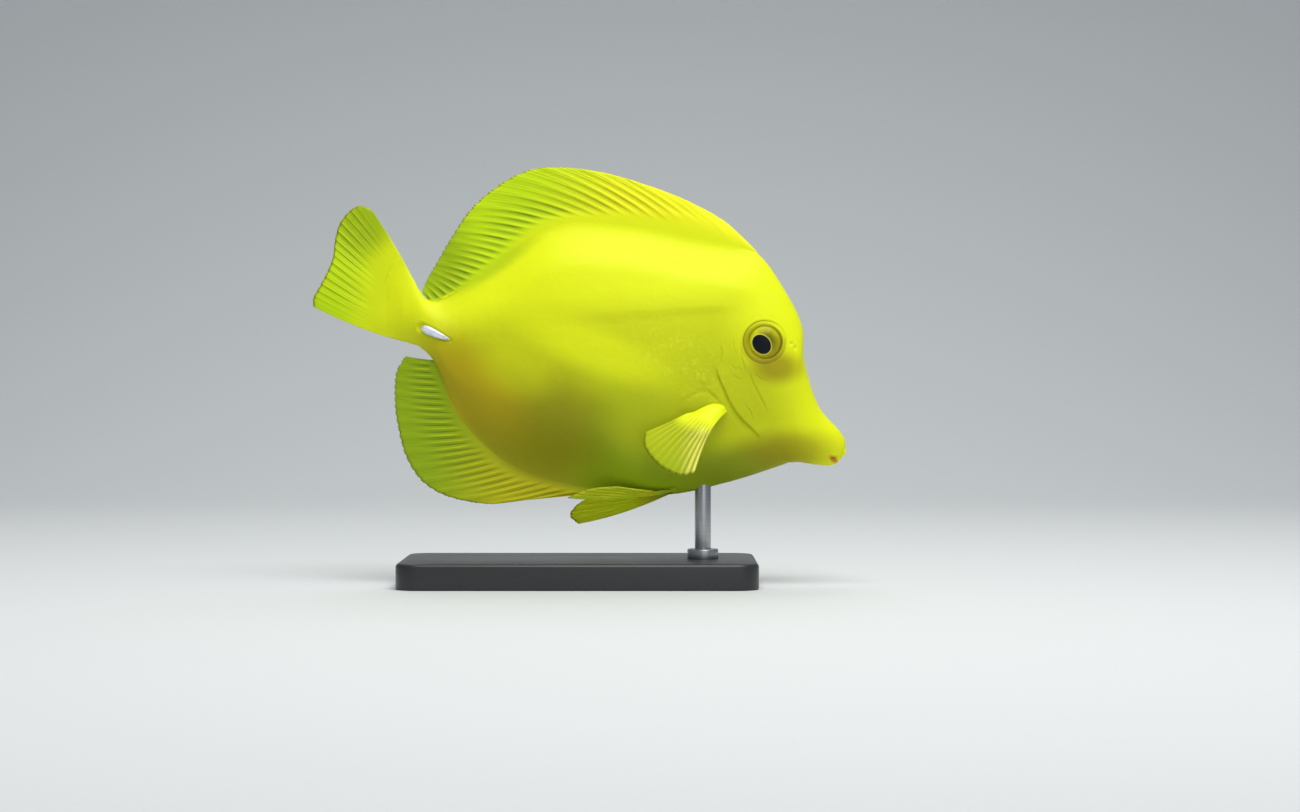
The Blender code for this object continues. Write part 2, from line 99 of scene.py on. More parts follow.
# Key rays of the fins, as the solids have them
DORSAL_KEYS = (
    (-38.4, -43.2, 56.7),
    (-43.4, -52.3, 62.1),
    (-46.5, -65.8, 65.9),
    (-50.0, -78.9, 67.8),
    (-55.5, -91.8, 68.6),
    (-63.5, -104.2, 67.5),
    (-72.5, -113.7, 64.7),
    (-83.0, -121.9, 58.4),
    (-99.0, -128.9, 49.6),
    (-111.0, -133.2, 39.8),
    (-120.0, -136.3, 30.6),
    (-128.5, -138.2, 25.0),
    (-135.8, -138.9, 20.6),
)
ANAL_KEYS = (
    (-59.1, -63.1, -27.9),
    (-62.2, -71.6, -29.6),
    (-66.6, -83.6, -32.3),
    (-73.1, -95.4, -36.3),
    (-79.9, -104.3, -39.3),
    (-87.9, -113.7, -40.0),
    (-95.0, -121.2, -39.1),
    (-102.3, -127.8, -36.0),
    (-108.9, -133.6, -29.7),
    (-116.7, -138.1, -20.5),
    (-122.5, -140.4, -13.4),
    (-127.5, -141.6, -5.6),
    (-130.7, -139.9, 0.2),
)
CAUDAL_KEYS = (
    (1.00, -159.4, 42.4),
    (0.95, -163.2, 43.1),
    (0.86, -166.4, 40.5),
    (0.74, -168.5, 35.9),
    (0.62, -168.7, 30.4),
    (0.48, -168.2, 25.6),
    (0.34, -168.9, 21.0),
    (0.20, -170.3, 16.0),
    (0.08, -171.6, 12.0),
    (0.00, -171.1, 9.2),
)
# Root x and z, bend x, z and how far out, tip x, z and how far out
PECTORAL_KEYS = (
    (-39.0, 3.5, -43.5, -1.2, 8.5, -44.8, -15.8, 16.0),
    (-39.9, 4.1, -44.9, -0.8, 9.0, -48.8, -17.6, 15.0),
    (-40.4, 4.6, -46.6, -0.4, 8.5, -53.6, -17.0, 12.5),
    (-41.6, 4.8, -48.6, -0.2, 7.5, -58.0, -14.8, 9.5),
    (-42.8, 4.8, -50.4, -0.3, 6.0, -61.4, -11.4, 6.5),
    (-44.0, 4.5, -52.1, -0.7, 4.0, -62.0, -7.2, 4.0),
)
PELVIC_RIGHT_KEYS = (
    (-48.8, -81.4, -32.2, 7.5),
    (-50.0, -79.3, -30.4, 7.6),
    (-51.3, -74.4, -27.6, 7.8),
    (-52.6, -67.0, -25.4, 7.4),
)
PELVIC_LEFT_KEYS = (
    (-48.8, -76.5, -40.2, 9.5),
    (-50.0, -79.7, -38.0, 8.4),
    (-51.3, -77.6, -33.6, 7.0),
    (-52.6, -72.0, -29.4, 5.6),
)

# Eyes, and the lines and folds of the head, x and z in the level frame
EYE = (-31.8, 27.3)
EYE_RADIUS, EYE_DEPTH, EYE_SUNK = 5.9, 3.6, 1.9
PUPIL = (-32.6, 26.5)
GILL_SLIT = (
    (-45.2, 17.4), (-44.0, 14.6), (-42.4, 12.3), (-40.4, 9.7), (-38.6, 7.2), (-36.4, 4.8),
    (-33.7, 2.6), (-30.2, 0.5), (-26.5, -2.0),
)
CHEEK_LINE = ((-35.6, 18.6), (-33.2, 14.8), (-30.2, 11.2), (-27.8, 8.2), (-26.1, 5.6))
TEMPLE_LINE = ((-38.6, 24.4), (-38.1, 21.3), (-36.9, 19.4), (-36.2, 17.2))
NECK_LINE = ((-45.0, 23.8), (-44.2, 21.4), (-44.0, 18.2))
WRINKLES = (
    ((-40.8, 18.6), (-39.2, 17.4), (-37.6, 17.8), (-36.8, 16.6)),
    ((-39.4, 15.4), (-37.4, 14.6), (-35.8, 15.2)),
    ((-41.6, 26.6), (-41.0, 23.8), (-39.8, 21.4)),
    ((-33.2, 17.2), (-30.6, 16.0), (-27.6, 15.8)),
    ((-34.0, 7.6), (-31.6, 5.4), (-30.4, 3.2)),
)
ARM_FOLD = (
    (-53.5, 2.4), (-51.6, 5.8), (-48.6, 8.6), (-45.6, 9.2), (-42.6, 7.4), (-39.6, 4.6),
)
# Shallow steps and wrinkles of the head: a line, the shares of it over which the step
# fades in and out, and across it a groove and a ridge with height, width and place
HEAD_LINES = (
    (CHEEK_LINE, (0.25, 0.25), ((-0.20, 0.26, 0.0), (0.12, 0.7, 0.8))),
    (TEMPLE_LINE, (0.25, 0.25), ((-0.16, 0.24, 0.0), (0.12, 0.7, 0.8))),
    (NECK_LINE, (0.25, 0.25), ((-0.26, 0.28, 0.0), (0.12, 0.7, 0.8))),
    *((line, (0.3, 0.3), ((-0.15, 0.20, 0.0), (0.06, 0.3, 0.5))) for line in WRINKLES),
)
# Rings round the eye: radius, width, and height in front of the eye and behind it
EYE_RINGS = (
    (5.75, 0.55, 0.24, 0.24),
    (5.12, 0.20, -0.16, -0.16),
    (6.60, 0.16, -0.14, -0.30),
    (7.05, 0.30, 0.12, 0.12),
)
SOCKET_RADIUS, SOCKET_DEPTH = 4.9, 2.6
# Folds over the pectoral fin's root: how far above ARM_FOLD each lies, and its depth
ARM_FOLDS = ((0.0, 0.42), (1.5, 0.28), (2.8, 0.16))
CLEFT = ((-0.4, -1.9), (-1.9, -2.6), (-4.3, -3.6))
MUSCLE_BLOCK = 4.2
NOSTRILS = ((-22.4, 27.6, 0.5), (-23.6, 28.6, 0.4))
SPINE_REAR, SPINE_TIP = (-136.2, 9.9), (-126.7, 7.7)
UPPER_CREASE = ((-42.0, 35.0), (-60.0, 29.9), (-80.0, 24.2), (-102.0, 17.6))
LATERAL_CREASE = ((-44.0, 25.0), (-62.0, 21.6), (-84.0, 16.6), (-104.0, 13.0), (-126.0, 9.0))


def blend(a, b, share):
    """From a, where the share is 0, to b, where it is 1."""
    return a + (b - a) * share


def ease(value):
    """A smooth step from 0 to 1."""
    value = np.clip(value, 0.0, 1.0)
    return value * value * (3.0 - 2.0 * value)


def hermite(s, start, end, slope_a, slope_b):
    """A smooth curve from start to end, with the slope it leaves and arrives with."""
    leaving = (2 * s**3 - 3 * s**2 + 1) * start + (s**3 - 2 * s**2 + s) * slope_a
    return leaving + (3 * s**2 - 2 * s**3) * end + (s**3 - s**2) * slope_b


def curve(start, bend, end, share):
    """A place on the curve that leaves start towards bend and arrives at end."""
    return start * (1 - share) ** 2 + bend * 2 * share * (1 - share) + end * share * share


def rows_at(rows, u):
    """Points on the smooth curve through equally spaced rows, at every u."""
    table = np.asarray(rows, float)
    last = len(table) - 1
    u = np.asarray(u, float)
    index = np.clip(np.floor(u).astype(int), 0, last - 1)
    s = np.clip(u - index, 0.0, 1.0)[..., None]
    start, end = table[index], table[index + 1]
    slope_a = (end - table[np.maximum(index - 1, 0)]) / 2
    slope_b = (table[np.minimum(index + 2, last)] - start) / 2
    return np.moveaxis(hermite(s, start, end, slope_a, slope_b), -1, 0)


def place(points):
    """Level millimetres to the model's own metres."""
    x, y, z = np.asarray(points, float).T
    share = np.clip((x - SWING_FROM) / (SWING_TO - SWING_FROM), 0.0, 1.1)
    cos, sin = math.cos(NOSE_DOWN), math.sin(NOSE_DOWN)
    across = y + TAIL_SWING * share * share
    ahead = SNOUT_AT[0] + x * cos + z * sin
    up = SNOUT_AT[2] - x * sin + z * cos
    return np.stack([ahead, across, up], axis=1) * MM


def bulge(u, t):
    """Share of the half width at height share t: round on the head, leaner on the trunk."""
    lean = blend(0.5, 0.64, np.clip((u - 5.0) / 4.0, 0.0, 1.0))
    lean = blend(lean, 0.5, np.clip((u - 12.0) / 3.0, 0.0, 1.0))
    return np.maximum(1.0 - np.abs(2.0 * t - 1.0) ** 2.1, 0.0) ** lean


def body_at(u, t):
    """x, half width and z of the body's side at section u and height share t."""
    belly_x, belly_z, back_x, back_z, bow, half = rows_at(BODY, u)
    edge = blend(LIP_EDGE, FIN_EDGE, np.clip(u / 4.0, 0.0, 1.0))
    x = blend(belly_x, back_x, t) - bow * 4.0 * t * (1.0 - t)
    return x, edge + (half - edge) * bulge(u, t), blend(belly_z, back_z, t)


def section_at(x, z):
    """The section u and height share t whose side passes through x and z."""
    low, high = np.zeros_like(x), np.full_like(x, TAIL_END)
    for _ in range(HALVINGS):
        u = (low + high) / 2
        belly_x, belly_z, back_x, back_z, bow, _half = rows_at(BODY, u)
        t = (z - belly_z) / (back_z - belly_z)
        inside = np.clip(t, 0.0, 1.0)
        ahead = blend(belly_x, back_x, t) - bow * 4.0 * inside * (1.0 - inside) > x
        low, high = np.where(ahead, u, low), np.where(ahead, high, u)
    return u, inside


def side_at(x, z):
    """Half width of the body where its side passes through x and z."""
    return body_at(*section_at(x, z))[1]


def edge_at(x, t):
    """Points on the belly line (t = 0) or the back line (t = 1), and the ways out there."""
    low, high = np.zeros_like(x), np.full_like(x, TAIL_END)
    for _ in range(HALVINGS):
        u = (low + high) / 2
        ahead = body_at(u, t)[0] > x
        low, high = np.where(ahead, u, low), np.where(ahead, high, u)
    return outline(u, t)


def outline(u, t):
    """x, z of the body's outline at section u and the way out, x and z."""
    here, front, rear = (body_at(s, t) for s in (u, u - NEARBY, u + NEARBY))
    run_x, run_z = rear[0] - front[0], rear[2] - front[2]
    length = np.hypot(run_x, run_z)
    sign = 1.0 if t > 0.5 else -1.0
    return here[0], here[2], sign * run_z / length, -sign * run_x / length


def near_line(x, z, line):
    """Distance to a line of points, signed + on its left, and the share run along it."""
    best = np.full_like(x, 1e9)
    signed, along = np.zeros_like(x), np.zeros_like(x)
    steps = [math.dist(a, b) for a, b in zip(line, line[1:])]
    run = 0.0
    for (ax, az), (bx, bz), step in zip(line, line[1:], steps):
        dx, dz = (bx - ax) / step, (bz - az) / step
        share = np.clip((x - ax) * dx + (z - az) * dz, 0.0, step)
        off_x, off_z = x - ax - dx * share, z - az - dz * share
        gap = np.hypot(off_x, off_z)
        closer = gap < best
        best = np.where(closer, gap, best)
        signed = np.where(closer, np.where(dx * off_z - dz * off_x > 0, gap, -gap), signed)
        along = np.where(closer, (run + share) / sum(steps), along)
        run += step
    return signed, along


# Grid of the skin: columns run from the lips to the tail fin, rows up one side from the
# belly line and down the other. Each pair is a column and its section, and sections
# below 0 close the lips, past 16 they run out over the tail fin's root.
SKIN_COLUMNS = ((0, -1.0), (4, 0.0), (92, 8.0), (172, 13.0), (208, 16.0), (224, 17.0))
SIDE_ROWS = 100
EDGE_ROWS = 10
# Towards the dorsal and anal fins the body thins to a keel: its depth at the back and at
# the belly, its half width and slope at the edge, and how far before the dorsal fin it
# starts
KEEL_DEPTH, BELLY_KEEL_DEPTH = 14.0, 21.0
KEEL_EDGE, KEEL_SLOPE = 0.92, 0.16
KEEL_AHEAD = 11.0
# A sheath of skin climbs the fin's foot and thins to just under the fin's own surface.
# Past SHEATH_CLOSES of its rows it closes inside the fin. Over the tail fin the skin
# covers TAIL_COVER of the rays, and closes past TAIL_CLOSES of that
FIN_ROOT_HALF = 0.80
SHEATH_HEIGHT = 1.8
SHEATH_DIP = 0.07
SHEATH_CLOSES = 0.8
EDGE_RISE = 0.15
TAIL_COVER, TAIL_CLOSES = 0.34, 0.92
# How far the lips stand out in front, and the height that they close towards
LIP_LENGTH = 1.0
LIPS_MEET = -1.2
# Where the dorsal and the anal fin start, over what length the keel and the sheath rise
# there, where the fins end, and over what length both sink again
DORSAL_COVER = (-38.0, 9.0, -139.0, 10.0)
ANAL_COVER = (-57.0, 18.0, -131.0, 12.0)
# Share of a fin ray's length at which its bend lies
BEND_AT = 0.45


def caudal_at(s, v):
    """Middle of the tail fin, x and z: s from its top ray to its lowest, v from the root."""
    height, tip_x, tip_z = rows_at(CAUDAL_KEYS, s * (len(CAUDAL_KEYS) - 1))
    root_x, _half, root_z = body_at(np.full_like(s, TAIL_END), np.clip(height, 0.0, 1.0))
    bend_x = blend(root_x, tip_x, BEND_AT)
    bend_z = blend(root_z, tip_z, BEND_AT) + (height - 0.6) * 3.6
    return curve(root_x, bend_x, tip_x, v), curve(root_z, bend_z, tip_z, v)


def fin_cover(x, t, ahead=0.0):
    """Where a median fin stands on the body's edge, from 0 in front of it to 1 along it.

    ahead is how far in front of the dorsal fin this starts.
    """
    if t > 0.5:
        front, rising, rear, sinking = DORSAL_COVER
        front, rising = front + ahead, rising + ahead
    else:
        front, rising, rear, sinking = ANAL_COVER
    return ease((front - x) / rising) * ease((x - rear) / sinking)


def edge_skin(u, t, past, half, end):
    """The skin near the belly line (end 0) or the back line (end 1): keel, sheath or edge.

    past is how far over the line it is, 0 to 1. Gives the half width, and how far the
    skin moves outwards, x and z.
    """
    belly_x, belly_z, back_x, back_z, _bow, _half = rows_at(BODY, u)
    height = np.hypot(back_x - belly_x, back_z - belly_z)
    edge_x = back_x if end else belly_x
    cover = fin_cover(edge_x, end, KEEL_AHEAD)
    edge = blend(blend(LIP_EDGE, FIN_EDGE, np.clip(u / 4.0, 0.0, 1.0)), KEEL_EDGE, cover)
    depth = np.minimum(blend(BELLY_KEEL_DEPTH, KEEL_DEPTH, end), height * 0.35)
    inward = 1.0 - 2.0 * end
    at = end + inward * depth / height
    reach = body_at(u, at)[1]
    slope = (body_at(u, at + inward * 0.1 / height)[1] - reach) / 0.1
    s = np.clip(np.abs(t - end) * height / depth, 0.0, 1.0)
    keel = hermite(s, edge, reach, KEEL_SLOPE * depth, slope * depth)
    half = np.where(s < 1.0, blend(half, keel, cover), half)
    run = np.minimum(past / SHEATH_CLOSES, 1.0)
    rest = np.maximum(past - SHEATH_CLOSES, 0.0) / (1.0 - SHEATH_CLOSES)
    sheath = FIN_ROOT_HALF + (edge - FIN_ROOT_HALF) * (1.0 - run) ** 2 - SHEATH_DIP * run
    sheath = sheath * np.sqrt(np.clip(1.0 - rest**2, 0.0, 1.0))
    flat = edge * np.sin((1.0 - past) * math.pi / 2)
    half = np.where(past > 0.0, blend(flat, sheath, cover), half)
    _x, _z, out_x, out_z = outline(u, end)
    rise = SHEATH_HEIGHT * fin_cover(edge_x, end) * run
    rise = rise + EDGE_RISE * np.sin(past * math.pi / 2)
    return half, out_x * rise, out_z * rise


def over_tail_fin(u, t, up, x, half, z):
    """Past the tail's root, the skin runs out over the tail fin and thins into it."""
    over = np.clip(u - TAIL_END, 0.0, 1.0)
    heights = [key[0] for key in CAUDAL_KEYS][::-1]
    share = np.interp(0.02 + 0.96 * t, heights, np.linspace(1.0, 0.0, len(heights)))
    root, near, out = (caudal_at(share, TAIL_COVER * at) for at in (0.0, NEARBY, over))
    start = ease(1.0 - over * 2.5) * (over > 0.0)
    x = np.where(over > 0.0, out[0] + (x - root[0]) * start, x)
    z = np.where(over > 0.0, out[1] + (z - root[1]) * start, z)
    end_x, end_half, end_z = body_at(TAIL_END, t)
    ahead_x, ahead_half, ahead_z = body_at(TAIL_END - 0.05, t)
    slope = (end_half - ahead_half) / np.hypot(end_x - ahead_x, end_z - ahead_z)
    slope = slope * np.hypot(near[0] - root[0], near[1] - root[1]) / NEARBY * TAIL_CLOSES
    run = np.clip(over / TAIL_CLOSES, 0.0, 1.0)
    rest = np.maximum(over - TAIL_CLOSES, 0.0) / (1.0 - TAIL_CLOSES)
    rim = 1.0 - np.clip(np.minimum(up, SIDE_ROWS - up) / EDGE_ROWS, 0.0, 1.0)
    laid = hermite(run, 0.0, FIN_ROOT_HALF - SHEATH_DIP, slope, 0.0) * np.sqrt(1.0 - rim * rim)
    laid += (1.0 - ease(run)) * half
    closing = np.sqrt(np.clip(1.0 - rest**2, 0.0, 1.0))
    return x, np.where(over > 0.0, laid, half) * closing, z


def skin_base(column, row):
    """x, y, z of the smooth skin in the level frame, before its details."""
    u = np.interp(column, *zip(*SKIN_COLUMNS))
    side = np.where(row < SIDE_ROWS, -1.0, 1.0)
    up = np.where(row < SIDE_ROWS, row, 2 * SIDE_ROWS - row)
    angle = np.clip((up - EDGE_ROWS) / (SIDE_ROWS - 2 * EDGE_ROWS), 0.0, 1.0) * math.pi
    t = (1.0 - np.cos(angle)) / 2.0
    within = np.clip(u, 0.0, TAIL_END)
    x, half, z = body_at(within, t)
    for end, rows_in in ((0.0, up), (1.0, SIDE_ROWS - up)):
        past = np.clip(1.0 - rows_in / EDGE_ROWS, 0.0, 1.0)
        half, out_x, out_z = edge_skin(within, t, past, half, end)
        x, z = x + out_x, z + out_z
    lips = np.clip(-u, 0.0, 1.0)
    half = half * np.sqrt(np.clip(1.0 - lips * lips, 0.0, 1.0))
    x = x + LIP_LENGTH * np.sin(lips * math.pi / 2) * (1.0 - (2.0 * t - 1.0) ** 2)
    z = blend(z, LIPS_MEET, 0.22 * lips * lips)
    x, half, z = over_tail_fin(u, t, up, x, half, z)
    return np.stack([x, side * half, z], axis=-1)


def hump(off, width, middle=0.0):
    """A smooth ridge across a line: 1 on it, or at middle from it, and near 0 past width."""
    return np.exp(-(((off - middle) / width) ** 2))


def eye_relief(x, z):
    """The eye's socket, the rolled ring of skin round it and its fine grooves."""
    r = np.hypot(x - EYE[0], z - EYE[1])
    out = 0.35 * hump(r, 3.2, 8.0) * (r > 5.0)
    behind = np.clip(0.5 - (x - EYE[0]) / 13.0, 0.0, 1.0)
    for radius, width, ahead, rear in EYE_RINGS:
        out += blend(ahead, rear, behind) * hump(r, width, radius)
    out -= 0.12 * behind**2 * hump(r, 0.17, 7.75)
    deep = out - SOCKET_DEPTH * ease((SOCKET_RADIUS - r) / 0.5)
    return np.where(r < SOCKET_RADIUS, deep, out)


def line_relief(x, z, line, ends, grooves):
    """Grooves and ridges along a line, each with its height, width and place across it.

    ends are the shares of the line over which they fade in and out.
    """
    off, along = near_line(x, z, line)
    window = ease(along / ends[0]) * ease((1.0 - along) / ends[1])
    return window * sum(height * hump(off, width, middle) for height, width, middle in grooves)


def skin_relief(x, z, u):
    """How far the skin's details stand out of the smooth body, in millimetres."""
    out = eye_relief(x, z)
    # Gill cover: stands proud of the flank and ends in a slit
    off, along = near_line(x, z, GILL_SLIT)
    window = ease(along / 0.16) * ease((1.0 - along) / 0.10)
    cover = np.where(off > 0, np.exp(-off / 4.5) * ease(off / 0.3), 0.0)
    slit = hump(off, 0.30) + 0.45 * hump(off, 0.8, -0.9)
    out += window * (0.45 * cover - 0.42 * slit)
    for line, ends, grooves in HEAD_LINES:
        out += line_relief(x, z, line, ends, grooves)
    # Folds over the root of the pectoral fin
    for reach, depth in ARM_FOLDS:
        grooves = ((-depth, 0.35, 0.0), (depth * 0.8, 0.6, 0.8))
        out += line_relief(x + reach * 0.2, z - reach, ARM_FOLD, (0.3, 0.2), grooves)
    mound = ((x + 46.8) / 6.2) ** 2 + ((z - 4.2) / 4.6) ** 2
    out += 0.55 * np.exp(-(mound**2))
    # Mouth: a cleft between two rolled lips
    off, along = near_line(x, z, CLEFT)
    window = ease((1.0 - along) / 0.22) * ease(along / 0.6)
    out -= window * 0.45 * hump(off, 0.24)
    out += window * 0.14 * hump(np.abs(off), 0.5, 0.8) * ease(along / 0.35)
    for nostril_x, nostril_z, radius in NOSTRILS:
        r = np.hypot(x - nostril_x, z - nostril_z)
        out -= 0.45 * hump(r, radius) - 0.04 * hump(r, 0.35, 1.0)
    # Pocket that the folded spine lies in, with a soft rim
    off, along = near_line(x, z, (SPINE_REAR, SPINE_TIP))
    pocket = blend(1.35, 0.55, along**2)
    out -= blend(0.50, 0.25, along) * np.exp(-((off / pocket) ** 4))
    out += blend(0.10, 0.03, along) * hump(np.abs(off), 0.5, pocket + 0.65)
    # The flank falls back a little below a soft crease behind the eye
    off, along = near_line(x, z, UPPER_CREASE)
    window = ease(along / 0.12) * ease((1.0 - along) / 0.5)
    out += window * 0.35 * np.where(off < 0, hump(off, 4.0), 0.0) * ease(-off / 1.2)
    out -= window * 0.16 * hump(off, 0.8)
    # A faint crease runs back along the flank, and the muscles under it just show
    off, along = near_line(x, z, LATERAL_CREASE)
    window = ease(along / 0.1) * ease((1.0 - along) / 0.1)
    out -= window * 0.10 * hump(off, 0.55)
    blocks = 0.5 + 0.5 * np.cos((x + 0.35 * np.abs(off)) * 2 * math.pi / MUSCLE_BLOCK)
    flank = ease((-46.0 - x) / 20.0) * ease((x + 132.0) / 14.0) * hump(off, 15.0)
    out += 0.045 * flank * blocks
    return out * ease((TAIL_END + 0.2 - u) / 0.6)


def skin_at(column, row):
    """x, y, z of the finished skin in the level frame: the details move it along its normal."""
    here = skin_base(column, row)
    last = 2 * SIDE_ROWS
    run = skin_base(column + NEARBY, row) - skin_base(column - NEARBY, row)
    rise = skin_base(column, np.minimum(row + NEARBY, last)) - skin_base(
        column, np.maximum(row - NEARBY, 0)
    )
    way_out = np.cross(run, rise)
    length = np.linalg.norm(way_out, axis=-1, keepdims=True)
    way_out = np.where(length > 1e-9, way_out / np.maximum(length, 1e-9), 0.0)
    up = np.where(row < SIDE_ROWS, row, last - row)
    wrong = (way_out[..., 1] * here[..., 1] < 0.0)[..., None]
    way_out = np.where(wrong, -way_out, way_out)
    u = np.interp(column, *zip(*SKIN_COLUMNS))
    fade = np.where(u < 2.5, 1.0, ease(np.minimum(up, SIDE_ROWS - up) / EDGE_ROWS - 0.8))
    fade = fade * ease((u + 1.0) / 0.4)
    relief = skin_relief(here[..., 0], here[..., 2], u) * fade
    return here + way_out * relief[..., None]


# Where the skin's grid is halved once, FINE, or twice, FINEST, in millimetres: the snout's
# tip, the spine's pocket, round the eye and nostrils, and beside the lines of the head
SNOUT_FINE = -8.5
POCKET_FINE = ((-138.6, -124.8), (5.4, 12.2))
EYE_FINE, EYE_FINEST = 8.6, (4.2, 7.4)
NOSTRIL_FINEST = 1.5
ARM_FOLD_FINE = 2.6
GILL_FINEST, LINE_FINEST, WRINKLE_FINEST = 1.0, 0.7, 0.5
FINE_BESIDE = 1.0


def near_details(x, z):
    """How many times the skin's grid is halved at a place: 2 at the finest details."""
    r = np.hypot(x - EYE[0], z - EYE[1])
    finest = (r > EYE_FINEST[0]) & (r < EYE_FINEST[1])
    fine = (r < EYE_FINE) | (x > SNOUT_FINE)
    (rear, front), (bottom, top) = POCKET_FINE
    fine |= (x > rear) & (x < front) & (z > bottom) & (z < top)
    lines = [(line, LINE_FINEST) for line in (CHEEK_LINE, TEMPLE_LINE, NECK_LINE)]
    lines += [(line, WRINKLE_FINEST) for line in WRINKLES]
    for line, reach in ((GILL_SLIT, GILL_FINEST), *lines):
        off, _along = near_line(x, z, line)
        finest |= np.abs(off) < reach
        fine |= np.abs(off) < reach + FINE_BESIDE
    off, _along = near_line(x, z, ARM_FOLD)
    fine |= np.abs(off) < ARM_FOLD_FINE
    for nostril_x, nostril_z, _radius in NOSTRILS:
        finest |= np.hypot(x - nostril_x, z - nostril_z) < NOSTRIL_FINEST
    return fine.astype(int) + finest.astype(int)


# So wide that a patch on the skin runs right through the fish
RIGHT_THROUGH = 1e5


def linear(code):
    """An sRGB hex colour as linear red, green and blue."""
    parts = [int(code[i:i + 2], 16) / 255.0 for i in (0, 2, 4)]
    return tuple(c / 12.92 if c <= 0.04045 else ((c + 0.055) / 1.055) ** 2.4 for c in parts)


def add_node(tree, kind, sockets=(), **settings):
    """Adds a node. A socket gets a value, or the output of another node that feeds it."""
    node = tree.nodes.new(kind)
    for name, value in settings.items():
        setattr(node, name, value)
    for name, value in dict(sockets).items():
        if isinstance(value, bpy.types.NodeSocket):
            tree.links.new(value, node.inputs[name])
        else:
            node.inputs[name].default_value = value
    return node


def new_material(name):
    """An empty material and its node tree."""
    made = bpy.data.materials.new(name)
    made.use_nodes = True
    return made, made.node_tree


def share_of(tree, strength, *parts):
    """How strongly a coat of colour lies at each place: a strength times every part.

    A part is another share, or a smooth step: a value, where it starts and where it is full.
    """
    share = strength
    for part in parts:
        if isinstance(part, tuple):
            value, start, full = part
            sockets = {"Value": value, "From Min": start, "From Max": full, "To Max": share}
            node = add_node(tree, "ShaderNodeMapRange", sockets, interpolation_type="SMOOTHSTEP")
        else:
            node = add_node(tree, "ShaderNodeMath", {0: share, 1: part}, operation="MULTIPLY")
        share = node.outputs[0]
    return share


def coat(tree, under, over, strength, *parts):
    """A colour with another laid over it, as strongly as share_of says."""
    sockets = {0: share_of(tree, strength, *parts)}
    for name, colour in ((6, under), (7, over)):
        joined = isinstance(colour, bpy.types.NodeSocket)
        sockets[name] = colour if joined else (*colour, 1.0)
    return add_node(tree, "ShaderNodeMix", sockets, data_type="RGBA").outputs[2]


def dress(made, colour, rough=None, bumps=(), values=()):
    """Gives a material's shader its colour, roughness, bumps and single values.

    rough is a share, how much roughness it adds, and the least roughness. A bump is a
    height, its strength and its depth in metres, and each one lies on the one before it.
    """
    tree = made.node_tree
    shader = tree.nodes["Principled BSDF"]
    tree.links.new(colour, shader.inputs["Base Color"])
    for name, value in dict(values).items():
        shader.inputs[name].default_value = value
    if rough:
        sockets = dict(enumerate(rough))
        amount = add_node(tree, "ShaderNodeMath", sockets, operation="MULTIPLY_ADD")
        tree.links.new(amount.outputs[0], shader.inputs["Roughness"])
    before = {}
    for height, strength, depth in bumps:
        sockets = {"Height": height, "Strength": strength, "Distance": depth, **before}
        normal = add_node(tree, "ShaderNodeBump", sockets).outputs["Normal"]
        tree.links.new(normal, shader.inputs["Normal"])
        before = {"Normal": normal}
    return made


def level_place(tree):
    """The fish's own level frame in millimetres, from Object coordinates in metres."""
    place_now = add_node(tree, "ShaderNodeTexCoord").outputs["Object"]
    sockets = {
        "Vector": place_now,
        "Location": [value * MM for value in SNOUT_AT],
        "Rotation": (0.0, NOSE_DOWN, 0.0),
        "Scale": (MM, MM, MM),
    }
    return add_node(tree, "ShaderNodeMapping", sockets, vector_type="TEXTURE").outputs[0]


def side_distance(tree, level, centre, size=(1.0, 1.0), turn=0.0):
    """How far a point is from a centre seen from the side, in half lengths of an oval."""
    sockets = {
        "Vector": level,
        "Location": (centre[0], 0.0, centre[1]),
        "Rotation": (0.0, turn, 0.0),
        "Scale": (size[0], RIGHT_THROUGH, size[1]),
    }
    local = add_node(tree, "ShaderNodeMapping", sockets, vector_type="TEXTURE").outputs[0]
    return add_node(tree, "ShaderNodeVectorMath", {0: local}, operation="LENGTH").outputs["Value"]


def patch(tree, level, centre, size, turn=0.0):
    """The step of a soft oval seen from the side, full near its centre and 0 at its rim."""
    return side_distance(tree, level, centre, size, turn), 1.0, 0.25


def finish_piece(name, bm, material, replaced):
    """The piece's object: closed, faces outwards, riding on the model's one body."""
    bmesh.ops.remove_doubles(bm, verts=bm.verts, dist=2e-7)
    bmesh.ops.dissolve_degenerate(bm, edges=bm.edges, dist=1e-7)
    bmesh.ops.recalc_face_normals(bm, faces=bm.faces)
    if bm.calc_volume(signed=True) < 0.0:
        bmesh.ops.reverse_faces(bm, faces=bm.faces)
    bm.normal_update()
    for face in bm.faces:
        face.smooth = True
    mesh = bpy.data.meshes.new(name)
    bm.to_mesh(mesh)
    bm.free()
    mesh.materials.append(material)
    piece = bpy.data.objects.new(name, mesh)
    bpy.context.scene.collection.objects.link(piece)
    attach(piece, "root")
    if replaced:
        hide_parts(*replaced)
    return piece


def bent(bm, shape):
    """Moves a flat grid's points to the places that shape gives, from level millimetres."""
    flat = np.array([vert.co[:2] for vert in bm.verts]) + 0.5
    for vert, spot in zip(bm.verts, place(shape(flat[:, 0], flat[:, 1]))):
        vert.co = spot


